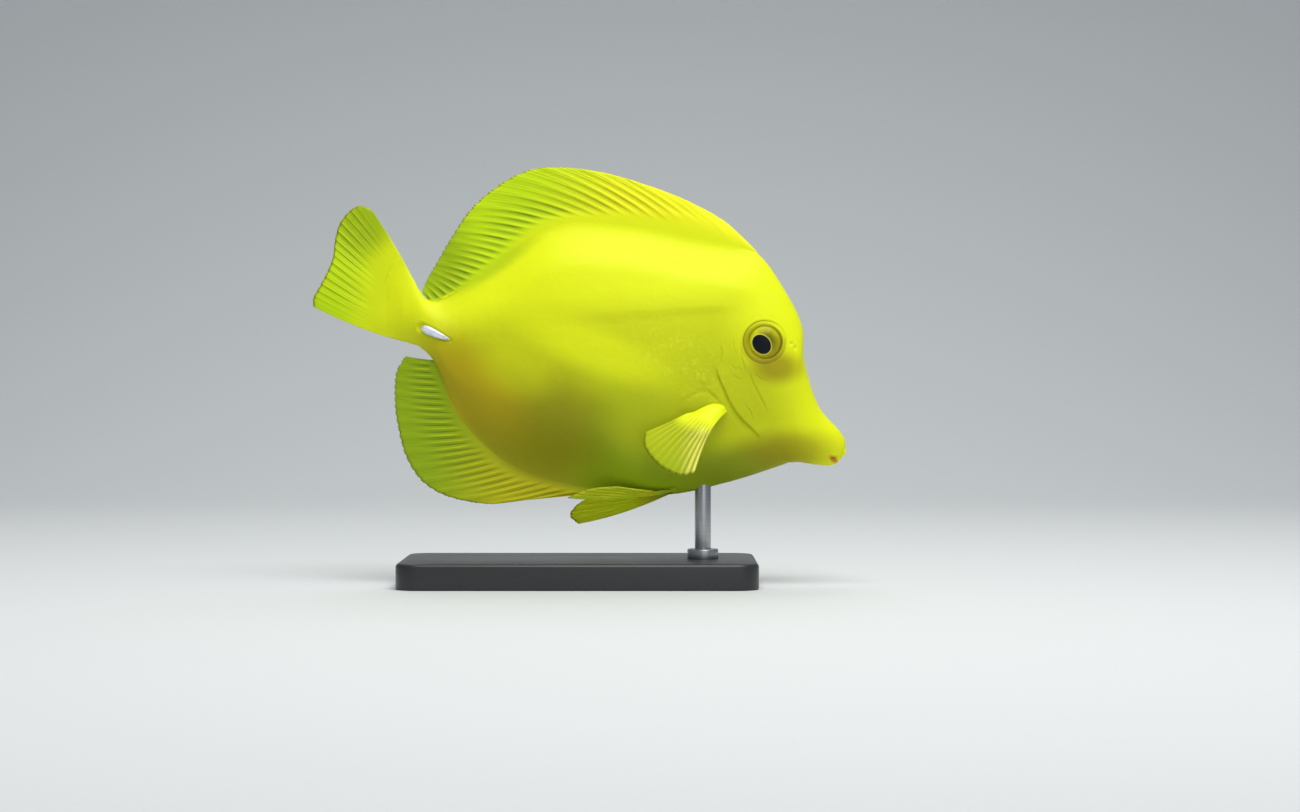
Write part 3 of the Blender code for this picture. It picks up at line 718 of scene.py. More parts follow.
class SkinSettings(bpy.types.PropertyGroup):
    """Colours of the skin."""

    bright: FloatVectorProperty(
        name="Upper flank", description="Lemon yellow of the back and the upper flank",
        subtype="COLOR", default=linear("E5EE14"), min=0.0, max=1.0,
    )
    # Painted shade: the olive, moss, belly and throat colours darken the lower body, where the top
    # light falls off
    olive: FloatVectorProperty(
        name="Lower flank", description="Olive of the flank behind the pectoral fin",
        subtype="COLOR", default=linear("98960C"), min=0.0, max=1.0,
    )
    moss: FloatVectorProperty(
        name="Under the pectoral fin", description="Greener olive of the front lower flank",
        subtype="COLOR", default=linear("98AC10"), min=0.0, max=1.0,
    )
    mustard: FloatVectorProperty(
        name="Rear flank", description="Mustard of the flank over the anal fin",
        subtype="COLOR", default=linear("B4A20E"), min=0.0, max=1.0,
    )
    belly: FloatVectorProperty(
        name="Belly", description="Greener yellow along the belly",
        subtype="COLOR", default=linear("9AB212"), min=0.0, max=1.0,
    )
    shadow: FloatVectorProperty(
        name="Under the eye", description="Brownish patch in front of and under the eye",
        subtype="COLOR", default=linear("94800E"), min=0.0, max=1.0,
    )
    cheek: FloatVectorProperty(
        name="Cheek", description="Duller yellow of the cheek and the gill cover",
        subtype="COLOR", default=linear("BEC612"), min=0.0, max=1.0,
    )
    throat_shade: FloatVectorProperty(
        name="Throat", description="Dull olive green between the gill slit and the belly",
        subtype="COLOR", default=linear("7E880C"), min=0.0, max=1.0,
    )
    tail: FloatVectorProperty(
        name="Tail fin's root", description="Greenish yellow that turns into the tail fin's lime",
        subtype="COLOR", default=linear("C2D80E"), min=0.0, max=1.0,
    )
    mouth: FloatVectorProperty(
        name="Mouth corner", description="Orange brown in the mouth's corner",
        subtype="COLOR", default=linear("C07C1C"), min=0.0, max=1.0,
    )
    scale_size: FloatProperty(
        name="Scale size", description="Width of one scale of the skin, in millimetres",
        default=0.8, min=0.3, max=3.0,
    )


# Soft ovals of colour on the skin, each over the last: the setting's name, strength,
# centre x and z, half length and half height, and turn. The lemon ovals are painted
# highlights, and the moss, belly and throat ovals painted shade
SKIN_PATCHES = (
    ("bright", 0.80, (-84.0, 15.0), (36.0, 10.0), 0.20),
    ("mustard", 1.00, (-116.0, -4.8), (29.0, 15.5), 0.60),
    ("bright", 0.32, (-105.5, 2.5), (19.0, 10.0), 0.20),
    ("moss", 0.85, (-128.6, -9.5), (13.0, 3.6), 0.90),
    ("moss", 0.85, (-111.0, -23.8), (15.0, 3.2), 0.55),
    ("tail", 0.85, (-117.5, 33.5), (21.0, 3.4), -0.80),
    ("belly", 1.00, (-48.0, -23.0), (47.0, 20.0), -0.30),
    ("cheek", 0.90, (-38.0, 9.0), (27.0, 25.0), 0.0),
    ("cheek", 0.65, (-61.0, -4.5), (19.0, 16.0), 0.0),
    ("throat_shade", 0.78, (-30.0, -11.5), (27.0, 11.0), -0.42),
    ("shadow", 0.55, (-17.0, -3.5), (20.0, 9.0), -0.20),
    ("shadow", 0.74, (-26.6, 20.7), (11.0, 7.2), -0.15),
)
# Sizes of the skin's patterns in millimetres: clouds of colour, pale flecks of painted glints off
# the scales, soft wrinkles
CLOUD_SIZE, GLINT_SIZE, WRINKLE_SIZE = 16.67, 2.222, 3.333
# Thin varnished resin: satin, and light sinks into it by about a millimetre
PAINTED_RESIN = {
    "IOR": 1.45,
    "Specular IOR Level": 0.22,
    "Subsurface Weight": 0.15,
    "Subsurface Radius": (1.0, 0.8, 0.15),
    "Subsurface Scale": 0.0011,
}


def skin_colour(tree, level, settings):
    """The skin's colour: lemon above, mustard below and behind, and olive below as painted shade;
    soft ovals add painted highlights and more painted shade.
    """
    split = add_node(tree, "ShaderNodeSeparateXYZ", {"Vector": level})
    x, z = split.outputs["X"], split.outputs["Z"]
    sockets = {"Vector": level, "Scale": 1.0 / CLOUD_SIZE, "Detail": 3.0}
    cloud = add_node(tree, "ShaderNodeTexNoise", sockets).outputs["Fac"]
    # Heights that the borders follow: the low one, under which the olive painted shade lies,
    # wanders, and both sink to the rear
    sockets = {0: cloud, 1: 10.0, 2: z}
    wander = add_node(tree, "ShaderNodeMath", sockets, operation="MULTIPLY_ADD").outputs[0]
    sockets = {0: x, 1: 0.05, 2: wander}
    low = add_node(tree, "ShaderNodeMath", sockets, operation="MULTIPLY_ADD").outputs[0]
    sockets = {0: x, 1: -0.2865, 2: z}
    upper = add_node(tree, "ShaderNodeMath", sockets, operation="MULTIPLY_ADD").outputs[0]
    colour = coat(
        tree, settings.bright, settings.cheek, 0.62, (upper, 57.0, 45.5), (x, -34.0, -50.0)
    )
    # Painted shade: olive, greener in front, over the lower body, where the top light falls off
    olive = coat(tree, settings.olive, settings.moss, 1.0, (x, -88.0, -66.0))
    colour = coat(
        tree, colour, olive, 1.0, (low, 15.5, -7.5), (x, -28.0, -62.0), (x, -138.0, -113.0)
    )
    for name, strength, centre, size, turn in SKIN_PATCHES:
        oval = patch(tree, level, centre, size, turn)
        colour = coat(tree, colour, getattr(settings, name), strength, oval)
    colour = coat(tree, colour, settings.tail, 0.9, (x, -143.0, -160.0))
    # Round the eye: painted shade on the lid behind, a brownish lid low in front, and a thin line
    # of painted shade in the fold behind
    far = side_distance(tree, level, EYE)
    behind = (x, -26.0, -36.0)
    colour = coat(tree, colour, settings.olive, 0.45, (far, 7.6, 5.6), behind)
    colour = coat(tree, colour, settings.shadow, 0.5, (far, 7.2, 6.2), (z, 33.0, 28.0))
    fold_shade = ((far, 6.36, 6.58), (far, 6.88, 6.66))
    colour = coat(tree, colour, settings.shadow, 0.7, *fold_shade, behind)
    corner = patch(tree, level, (-3.2, -3.5), (2.4, 1.3), 0.45)
    return coat(tree, colour, settings.mouth, 1.0, corner)


def skin_material(settings):
    """Fish skin, as cast and painted resin.

    The scales of this fish are tiny and rough, under a thin wet film. From a step away
    that gives an even satin yellow with no sharp lights. Real scales are about 0.4 mm
    wide, and they are drawn at twice that so that they show.
    """
    made, tree = new_material("painted_fish_skin")
    level = level_place(tree)
    sockets = {"Vector": level, "Scale": 1.0 / GLINT_SIZE, "Detail": 4.0, "Distortion": 1.4}
    glint_and_gloss = add_node(tree, "ShaderNodeTexNoise", sockets).outputs["Fac"]
    # Painted glints: pale flecks of light off the scales on the mid flank; the same noise also
    # varies the roughness
    flank = patch(tree, level, (-58.0, 17.0), (28.0, 15.0), 0.3)
    colour = coat(
        tree, skin_colour(tree, level, settings), linear("F0F440"), 0.28,
        (glint_and_gloss, 0.50, 0.70), flank,
    )
    sockets = {"Vector": level, "Scale": 1.0 / settings.scale_size}
    scales = add_node(tree, "ShaderNodeTexVoronoi", sockets).outputs["Distance"]
    sockets = {"Vector": level, "Scale": 1.0 / WRINKLE_SIZE, "Detail": 5.0}
    wrinkles = add_node(tree, "ShaderNodeTexNoise", sockets).outputs["Fac"]
    bumps = ((scales, 0.15, 0.0001), (wrinkles, 0.22, 0.0005))
    return dress(made, colour, (glint_and_gloss, -0.14, 0.58), bumps, PAINTED_RESIN)


class TANG_OT_skin(bpy.types.Operator):
    """Shapes the skin of the head, the trunk and the tail stem as one closed surface"""

    bl_idname = "tang.skin"
    bl_label = "Skin"

    def execute(self, context):
        bm = bmesh.new()
        columns, rows = SKIN_COLUMNS[-1][0], 2 * SIDE_ROWS
        bmesh.ops.create_grid(bm, x_segments=columns, y_segments=rows, size=0.5)
        for halving in (1, 2):
            faces = list(bm.faces)
            middle = np.array([face.calc_center_median()[:2] for face in faces]) + 0.5
            spots = skin_base(middle[:, 0] * columns, middle[:, 1] * rows)
            wanted = near_details(spots[:, 0], spots[:, 2]) >= halving
            edges = {edge for face, want in zip(faces, wanted) if want for edge in face.edges}
            edges = sorted(edges, key=lambda edge: edge.index)
            bmesh.ops.subdivide_edges(bm, edges=edges, cuts=1, use_grid_fill=True)
            bm.edges.index_update()
        bmesh.ops.triangulate(bm, faces=[face for face in bm.faces if len(face.verts) > 4])
        bent(bm, lambda a, b: skin_at(a * columns, b * rows))
        settings = context.scene.tang_skin
        finish_piece("skin", bm, skin_material(settings), ("head", "trunk", "tail_stem"))
        return {"FINISHED"}


# A fin's sheet starts at ROOT_DIP of its height, under the body's edge, and the dorsal and
# the anal fin reach ROOT_INSIDE millimetres into the body there
ROOT_DIP = -0.12
ROOT_INSIDE = 3.0
STRAIGHT_OUT = (0.0, 1.0, 0.0)
# How far out a pelvic fin's root lies and how far the fin bows out, in millimetres
PELVIC_OUT, PELVIC_BOW = 3.9, 0.8
PELVIC_RAYS = 6
# Columns of a fin's grid for each ray, and the share of its height that rounds its margin
RAY_COLUMNS = 12
MARGIN = 0.04


def ray_relief(
    s, v, rays, shown, split, ray=(0.80, 0.26), web=(0.72, 0.11), plain=0.34, wide=0.16,
):
    """Half thickness of a fin: rounded rays with thin skin between, plain near the body.

    shown is how far the rays stand out of the plain sheet at each point, 0 to 1, and
    past split each ray parts into two. wide is a ray's width as a share of its strip.
    """
    off = np.abs((s * rays) % 1.0 - 0.5)
    one = np.exp(-((off / wide) ** 2))
    two = np.exp(-(((off - 0.16) / 0.09) ** 2))
    ridge = blend(one, two, ease((v - split) / 0.25))
    reach = np.clip(v, 0.0, 1.0)
    thick, thin = blend(*ray, reach), blend(*web, np.minimum(reach * 1.7, 1.0))
    smooth = blend(ray[0], plain, ease((reach - 0.1) / 0.9))
    return blend(smooth, thin + (thick - thin) * ridge, shown), ridge


def finish_fin(name, rays, rows, shape, material, node):
    """A fin's closed sheet: up one side from inside the body, round the margin and down."""
    columns = rays * RAY_COLUMNS
    bm = bmesh.new()
    bmesh.ops.create_grid(bm, x_segments=columns, y_segments=2 * rows, size=0.5)
    layer = bm.loops.layers.uv.new("rays")
    for face in bm.faces:
        for loop in face.loops:
            s, turn = loop.vert.co.x + 0.5, loop.vert.co.y + 0.5
            up = 1.0 - abs(2.0 * turn - 1.0)
            loop[layer].uv = (s * rays, blend(ROOT_DIP, 1.0, up))

    def both_sides(s, turn):
        up = 1.0 - np.abs(2.0 * turn - 1.0)
        v = blend(ROOT_DIP, 1.0, up)
        spots, across, half = shape(s, v)
        margin = np.clip((up - 1.0 + MARGIN) / MARGIN, 0.0, 1.0)
        end = np.clip(np.minimum(s, 1.0 - s) * columns / 3.0, 0.0, 1.0)
        half = half * np.sqrt(1.0 - margin * margin) * np.sqrt(1.0 - (1.0 - end) ** 2)
        half = half * np.clip(up * rows, 0.0, 1.0) * np.where(turn < 0.5, -1.0, 1.0)
        return spots + across * half[:, None]

    bent(bm, both_sides)
    return finish_piece(name, bm, material, (node,))


def median_shape(keys, t, rays, shown, rise, sway, wide, split=0.62):
    """The dorsal or the anal fin: rays that leave the body's edge steeply and sweep back.

    The rays stand a little closer in front, and evenly behind. shown(s, v) is how far they
    stand out, rise how steeply they leave, sway how far the fin waves sideways, wide how
    wide a ray is in its strip and split where it parts.
    """

    def middle(s, up):
        ray, which = np.unique(s, return_inverse=True)
        root_x, tip_x, tip_z = rows_at(keys, ray * (len(keys) - 1))
        x, z, out_x, out_z = (a[which] for a in edge_at(root_x, t))
        tip_x, tip_z = tip_x[which], tip_z[which]
        reach = np.hypot(tip_x - x, tip_z - z)
        bend_x = blend(x, tip_x, BEND_AT) + out_x * rise * reach
        bend_z = blend(z, tip_z, BEND_AT) + out_z * rise * reach
        return curve(x, bend_x, tip_x, up), curve(z, bend_z, tip_z, up), out_x, out_z, reach

    run = np.linspace(0.0, 1.0, 241)
    low, high = (middle(run, np.full_like(run, up)) for up in (0.35, 0.45))
    ray_x, ray_z = high[0] - low[0], high[1] - low[1]
    gap = np.diff(low[0]) * ray_z[1:] - np.diff(low[1]) * ray_x[1:]
    gap = np.abs(gap) / np.hypot(ray_x, ray_z)[1:] / blend(0.62, 1.0, ease(run[1:] / 0.45))
    spread = np.concatenate([[0.0], np.cumsum(gap)])

    def shape(turn, v):
        s = np.interp(turn * spread[-1], spread, run)
        half, ridge = ray_relief(turn, v, rays, shown(s, v), split, wide=wide)
        up = np.maximum(v, 0.0)
        reach = middle(s, up)[4]
        up = up * (1.0 - 0.45 / np.maximum(reach, 3.0) * (1.0 - ridge) * up**8)
        at_x, at_z, out_x, out_z, _reach = middle(s, up)
        inside = np.minimum(v, 0.0) / -ROOT_DIP * ROOT_INSIDE
        at_y = sway * np.sin(2 * math.pi * (1.2 * s + 0.15)) * up * up
        at_y = at_y + 0.10 * np.sin(2 * math.pi * turn * rays / 2.0) * up * up
        spots = np.stack([at_x + out_x * inside, at_y, at_z + out_z * inside], axis=1)
        return spots, np.broadcast_to(STRAIGHT_OUT, spots.shape), half

    return shape


def caudal_shape(rays):
    """The tail fin, with rays that part twice and a slight curl of its upper corner."""

    def shape(s, v):
        up = np.maximum(v, 0.0)
        middle = ease((s - 0.12) / 0.14) * ease((0.92 - s) / 0.2)
        strong = 0.5 + 0.5 * np.sin(np.floor(s * rays) * 2.4 + 1.0) ** 2
        shown = ease((v - 0.40) / 0.35) * blend(0.12, 0.75, middle) * strong
        half, ridge = ray_relief(s, v, rays, shown, 0.45, ray=(0.80, 0.24))
        up = up * (1.0 - 0.006 * (1.0 - ridge) * up**8)
        x, z = caudal_at(s, up)
        height = rows_at(CAUDAL_KEYS, s * (len(CAUDAL_KEYS) - 1))[0]
        inside = np.minimum(v, 0.0) / ROOT_DIP
        in_x, _half, in_z = body_at(TAIL_END - inside, 0.10 + 0.80 * np.clip(height, 0.0, 1.0))
        x = np.where(v < 0.0, blend(x, in_x, inside), x)
        z = np.where(v < 0.0, blend(z, in_z, inside), z)
        at_y = 0.9 * np.sin(2 * math.pi * (0.9 * s + 0.1)) * up * up
        spots = np.stack([x, at_y, z], axis=1)
        return spots, np.broadcast_to(STRAIGHT_OUT, spots.shape), half

    return shape


def softly_over(value, floor, width=0.5):
    """The larger of two, rounded where they meet."""
    return (value + floor + np.sqrt((value - floor) ** 2 + width * width)) / 2


def facing_out(middle, s, v, side):
    """Unit vectors square to the sheet middle(s, v), turned away from the body."""
    step = 0.01
    low_s, high_s = np.clip(s - step, 0.0, 1.0), np.clip(s + step, 0.0, 1.0)
    low_v, high_v = np.clip(v - step, 0.0, 1.0), np.clip(v + step, 0.02, 1.0)
    run = middle(high_s, v) - middle(low_s, v)
    rise = middle(s, high_v) - middle(s, low_v)
    across = np.cross(run, rise)
    across /= np.maximum(np.linalg.norm(across, axis=1, keepdims=True), 1e-9)
    across[across[:, 1] * side < 0.0] *= -1.0
    return across * side


def pectoral_shape(side, rays):
    """A pectoral fin: a fleshy root that stands out like a shelf, then rays that hang."""
    root_y = float(side_at(np.array([-41.7]), np.array([4.5]))[0]) + 0.7

    def middle(s, v):
        up = np.maximum(v, 0.0)
        keys = rows_at(PECTORAL_KEYS, s * (len(PECTORAL_KEYS) - 1))
        root_x, root_z, bend_x, bend_z, bend_out, tip_x, tip_z, out = keys
        x = curve(root_x, bend_x, tip_x, up)
        y = curve(root_y, root_y + bend_out, root_y + out, up)
        z = curve(root_z, bend_z, tip_z, up)
        y = softly_over(y, side_at(x, z) + blend(0.5, 0.9, up))
        y = y + np.minimum(v, 0.0) / -ROOT_DIP * 3.0
        return np.stack([x, side * y, z], axis=1)

    def shape(s, v):
        half, ridge = ray_relief(
            s, v, rays, ease((v - 0.30) / 0.16) * blend(1.0, 0.45, ease((s - 0.4) / 0.4)),
            0.80, ray=(1.45, 0.24), web=(0.95, 0.08), wide=0.22,
        )
        fleshy = blend(1.5, 0.42, ease(v / 0.42)) * (0.55 + 0.45 * np.sin(math.pi * s) ** 0.5)
        half = np.where(v < 0.42, blend(fleshy, half, ease((v - 0.26) / 0.16)), half)
        up = v * (1.0 - 0.004 * (1.0 - ridge) * np.maximum(v, 0.0) ** 8)
        return middle(s, up), facing_out(middle, s, v, side), half

    return shape


def pelvic_shape(side, keys, rays):
    """A pelvic fin: one strong spine and five rays, folded half open under the belly."""

    def middle(s, v):
        up = np.maximum(v, 0.0)
        root_x, tip_x, tip_z, tip_y = rows_at(keys, s * (len(keys) - 1))
        x0, z0, _out_x, _out_z = edge_at(root_x, 0.0)
        low, high = np.zeros_like(s), np.full_like(s, 0.3)
        for _ in range(12):
            rise = (low + high) / 2
            thin = side_at(x0, z0 + rise * 40.0) < 3.0
            low, high = np.where(thin, rise, low), np.where(thin, high, rise)
        z0 = z0 + rise * 40.0 - 0.9
        x = curve(root_x, blend(root_x, tip_x, BEND_AT), tip_x, up)
        y = curve(PELVIC_OUT, blend(PELVIC_OUT, tip_y, BEND_AT) + PELVIC_BOW, tip_y, up)
        z = curve(z0, blend(z0, tip_z, BEND_AT) + (s - 1.0) * 3.0, tip_z, up)
        belly = edge_at(x, 0.0)[1]
        over = side_at(x, np.maximum(z, belly + 0.1)) + 1.0
        y = np.where(z > belly - 1.0, softly_over(y, over, 0.3), y)
        inside = np.minimum(v, 0.0) / -ROOT_DIP
        return np.stack([x, side * (y + inside * 1.6), z - inside * 2.0], axis=1)

    def shape(s, v):
        half, ridge = ray_relief(
            s, v, rays, ease((v - 0.08) / 0.3), 0.6, ray=(0.75, 0.28), web=(0.66, 0.12)
        )
        up = v * (1.0 - 0.010 * (1.0 - ridge) * np.maximum(v, 0.0) ** 8)
        return middle(s, up), facing_out(middle, s, v, side), half

    return shape


class FinSettings(bpy.types.PropertyGroup):
    """Colours and ray counts of the fins."""

    lemon: FloatVectorProperty(
        name="Front of the dorsal fin", description="Yellow that the skin runs on into",
        subtype="COLOR", default=linear("F2F21A"), min=0.0, max=1.0,
    )
    lime: FloatVectorProperty(
        name="Rear of the fins", description="Lime of the rear dorsal, anal and tail fins",
        subtype="COLOR", default=linear("C4E40E"), min=0.0, max=1.0,
    )
    leaf: FloatVectorProperty(
        name="Lower fins", description="Duller yellow of the pelvic and lower anal fins",
        subtype="COLOR", default=linear("C8C416"), min=0.0, max=1.0,
    )
    anal: FloatVectorProperty(
        name="Rear of the anal fin", description="Green of the rear of the anal fin",
        subtype="COLOR", default=linear("90AC0E"), min=0.0, max=1.0,
    )
    # The web and groove colours darken the skin between the rays, partly as the membrane's own
    # colour and partly as painted shade, and draw the painted shade under each ray
    web: FloatVectorProperty(
        name="Skin between front rays", description="Brownish olive between two rays",
        subtype="COLOR", default=linear("A8980C"), min=0.0, max=1.0,
    )
    groove: FloatVectorProperty(
        name="Skin between rear rays", description="Dark green between two rays, at their foot",
        subtype="COLOR", default=linear("5C7806"), min=0.0, max=1.0,
    )
    margin: FloatVectorProperty(
        name="Margin", description="Thin reddish brown line along the fin's edge",
        subtype="COLOR", default=linear("8A5A14"), min=0.0, max=1.0,
    )
    pale: FloatVectorProperty(
        name="Pale rays", description="Whitish yellow of the pectoral fin's front rays",
        subtype="COLOR", default=linear("E6E870"), min=0.0, max=1.0,
    )
    rear_ray: FloatVectorProperty(
        name="Rear rays", description="Olive yellow of the pectoral fin's rear rays",
        subtype="COLOR", default=linear("B8BE1A"), min=0.0, max=1.0,
    )
    olive: FloatVectorProperty(
        name="Right pelvic fin", description="Olive green of the folded pelvic fin",
        subtype="COLOR", default=linear("B8CC16"), min=0.0, max=1.0,
    )
    # Painted light: the left pelvic fin's tint is lighter than the right one's, to make up for the
    # body's shade over it
    sunlit: FloatVectorProperty(
        name="Left pelvic fin", description="Brighter lime of the spread pelvic fin",
        subtype="COLOR", default=linear("E6FC1C"), min=0.0, max=1.0,
    )
    dorsal_rays: IntProperty(name="Dorsal rays", description="Spines and rays", default=32)
    anal_rays: IntProperty(name="Anal rays", description="Spines and rays", default=27)
    caudal_rays: IntProperty(name="Tail rays", description="Branching rays", default=18)
    pectoral_rays: IntProperty(name="Pectoral rays", description="Rays", default=11)


# Fine fibres in the fins: how many lie side by side on each ray, and lumps along a ray
FIBRES_PER_RAY, FIBRE_LUMPS = 5.0, 1.2
# More than any fin has
ALL_RAYS = 99.0


def fin_material(
    name, look, skin, base, turns, line, foot, shows,
    dark=1.0, broad=(0.16, 0.42, 0.25), window=(-ALL_RAYS, ALL_RAYS), foot_colour=None, rim=0.45,
    corner=None, clear=0.0,
):
    """Fin membrane over bony rays, as thin cast and painted resin.

    Each ray has a pale painted highlight along its crest and a thin painted shade under it,
    some stronger than others, and fine fibres run along both. The skin's colour, with its
    painted shade, runs a little way up each fin.

    base holds the colours at the front and at the rear, turns the places where one turns
    into the other, and line the colours there of the darker skin and the painted shade
    between the rays. foot is how far out the skin's colour ends, and how much earlier at
    the rear. shows is how far out the rays start to show and to fade, and window the first
    and the last ray that shows. dark is the strength of the thin painted shade under each
    ray. broad is where the darker skin between two rays starts and ends, from a ray's
    middle, and its strength: the membrane's own darker colour, with painted shade in the
    hollow between the rays. corner is a place that is tinted green, and its size.
    clear is how far the body's colour shows through the thin membrane of the rear margin.
    """
    made, tree = new_material(name)
    level = level_place(tree)
    split = add_node(tree, "ShaderNodeSeparateXYZ", {"Vector": level})
    along = share_of(tree, 1.0, (split.outputs["X"], *turns))
    rays = add_node(tree, "ShaderNodeUVMap", uv_map="rays").outputs["UV"]
    parts = add_node(tree, "ShaderNodeSeparateXYZ", {"Vector": rays})
    ray, out = parts.outputs["X"], parts.outputs["Y"]
    # off is the distance from a ray's middle, and chance a number of its own for each ray
    cell = add_node(tree, "ShaderNodeMath", {0: ray}, operation="FRACT").outputs[0]
    off = add_node(tree, "ShaderNodeMath", {0: cell, 1: 0.5}, operation="SUBTRACT").outputs[0]
    off = add_node(tree, "ShaderNodeMath", {0: off}, operation="ABSOLUTE").outputs[0]
    number = add_node(tree, "ShaderNodeMath", {0: ray}, operation="FLOOR").outputs[0]
    noise = add_node(tree, "ShaderNodeTexWhiteNoise", {"W": number}, noise_dimensions="1D")
    chance = noise.outputs["Value"]
    later, uneven, climb = (
        add_node(
            tree, "ShaderNodeMath", dict(enumerate(values)), operation="MULTIPLY_ADD"
        ).outputs[0]
        for values in ((chance, -0.12, out), (chance, 0.6, 0.4), (along, foot[2], out))
    )
    colour = coat(tree, *base, along)
    if corner:
        colour = coat(tree, colour, look.anal, 0.75, patch(tree, level, *corner))
    web = coat(tree, *line, along)
    shown = share_of(
        tree, 1.0, (later, *shows[:2]), (out, *shows[:1:-1]),
        (ray, window[0], window[0] + 4.0), (ray, window[1], window[1] - 3.0),
    )
    # Darker skin between the rays: the membrane's own colour, with painted shade in the hollows
    colour = coat(tree, colour, web, broad[2], shown, (off, *broad[:2]))
    shown = share_of(tree, uneven, shown)
    # Painted shade: a thin dark line under each ray, some stronger than others
    colour = coat(tree, colour, web, dark, shown, (cell, 0.56, 0.70), (cell, 1.0, 0.80))
    # Painted highlight: a pale line along each ray's crest
    colour = coat(tree, colour, look.lemon, 0.4, shown, (off, 0.17, 0.05))
    sockets = {"Vector": rays, "Scale": (FIBRES_PER_RAY, FIBRE_LUMPS, 1.0)}
    stretch = add_node(tree, "ShaderNodeMapping", sockets).outputs[0]
    sockets = {"Vector": stretch, "Scale": 1.0, "Detail": 4.0}
    fibres = add_node(tree, "ShaderNodeTexNoise", sockets).outputs["Fac"]
    colour = coat(tree, colour, web, 0.22, (fibres, 0.48, 0.75))
    colour = coat(tree, colour, look.margin, rim, (out, 0.972, 0.995))
    root = skin_colour(tree, level, skin) if foot_colour is None else foot_colour
    colour = coat(tree, root, colour, 1.0, (climb, *foot[:2]))
    if clear:
        body = skin_colour(tree, level, skin)
        colour = coat(tree, colour, body, clear, (out, 0.45, 1.0), (along, 0.0, 0.8))
    bumps = ((fibres, 0.25, 0.00012),)
    return dress(made, colour, (fibres, 0.15, 0.42), bumps, PAINTED_RESIN)


class TANG_OT_median_fins(bpy.types.Operator):
    """Makes the dorsal, the anal and the tail fin, with their rays raised"""

    bl_idname = "tang.median_fins"
    bl_label = "Dorsal, anal and tail fins"

    def execute(self, context):
        look, skin = context.scene.tang_fins, context.scene.tang_skin

        def dorsal_shown(s, v):
            start = blend(0.42, 0.10, ease(s / 0.8))
            front = ease((s - 0.16) / 0.16)
            fade = blend(1.0, 0.22, ease((v - 0.30) / 0.32) * ease((s - 0.36) / 0.28))
            return ease((v - start) / 0.18) * front * fade

        def anal_shown(s, v):
            start = blend(0.34, 0.08, ease(s / 0.8))
            fade = blend(1.0, 0.22, ease((v - 0.45) / 0.4))
            return ease((v - start) / 0.18) * ease((s - 0.06) / 0.14) * fade

        paint = fin_material(
            "painted_dorsal_membrane", look, skin,
            base=(look.lemon, look.lime), turns=(-74.0, -118.0),
            line=(look.web, look.groove), foot=(0.08, 0.42, 0.12), shows=(0.08, 0.26, 0.36, 0.95),
            dark=0.8, broad=(0.22, 0.44, 0.2), window=(5.0, ALL_RAYS),
            corner=((-137.0, 30.0), (17.0, 24.0)),
        )
        shape = median_shape(
            DORSAL_KEYS, 1.0, look.dorsal_rays, dorsal_shown, rise=0.10, sway=0.8, wide=0.20
        )
        finish_fin("dorsal_sheet", look.dorsal_rays, 44, shape, paint, "dorsal_fin")
        paint = fin_material(
            "painted_anal_membrane", look, skin,
            base=(look.leaf, look.anal), turns=(-92.0, -128.0),
            line=(skin.shadow, look.groove), foot=(0.02, 0.26, 0.2), shows=(0.04, 0.22, 0.34, 0.85),
            dark=0.25, broad=(0.34, 0.47, 0.85),
        )
        shape = median_shape(
            ANAL_KEYS, 0.0, look.anal_rays, anal_shown, rise=0.06, sway=0.7, wide=0.31
        )
        finish_fin("anal_sheet", look.anal_rays, 40, shape, paint, "anal_fin")
        paint = fin_material(
            "painted_tail_membrane", look, skin,
            base=(look.lemon, look.lime), turns=(-142.0, -166.0),
            line=(look.groove, look.groove), foot=(0.31, 0.60, 0.0), shows=(0.42, 0.80, 0.9, 1.2),
            dark=0.5, broad=(0.16, 0.42, 0.1), window=(1.0, 17.0),
            corner=((-161.0, 38.0), (15.0, 16.0)),
        )
        shape = caudal_shape(look.caudal_rays)
        finish_fin("caudal_sheet", look.caudal_rays, 40, shape, paint, "caudal_fin")
        return {"FINISHED"}


class TANG_OT_paired_fins(bpy.types.Operator):
    """Makes the pectoral and the pelvic fins, one of each on either side"""

    bl_idname = "tang.paired_fins"
    bl_label = "Pectoral and pelvic fins"

    def execute(self, context):
        look, skin = context.scene.tang_fins, context.scene.tang_skin
        pale = fin_material(
            "painted_pectoral_membrane", look, skin,
            base=(look.pale, look.rear_ray), turns=(-44.0, -53.0),
            line=(skin.olive, skin.moss), foot=(0.36, 0.54, -0.10), shows=(0.36, 0.48, 1.1, 1.2),
            dark=0.3, broad=(0.22, 0.38, 0.9), foot_colour=skin.bright, rim=0.0, clear=0.75,
        )
        for side, name, keys, tint in (
            (-1, "right", PELVIC_RIGHT_KEYS, look.olive),
            (1, "left", PELVIC_LEFT_KEYS, look.sunlit),
        ):
            plain = fin_material(
                "painted_pelvic_membrane_" + name, look, skin,
                base=(look.leaf, tint), turns=(-54.0, -64.0),
                line=(look.web, look.web), foot=(0.0, 0.35, 0.0), shows=(0.1, 0.6, 1.1, 1.2),
                dark=0.4, broad=(0.16, 0.42, 0.15),
            )
            shape = pectoral_shape(side, look.pectoral_rays)
            finish_fin(
                "pectoral_sheet_" + name, look.pectoral_rays, 36, shape, pale,
                "pectoral_fin_" + name,
            )
            shape = pelvic_shape(side, keys, PELVIC_RAYS)
            finish_fin(
                "pelvic_sheet_" + name, PELVIC_RAYS, 36, shape, plain, "pelvic_fin_" + name
            )
        return {"FINISHED"}


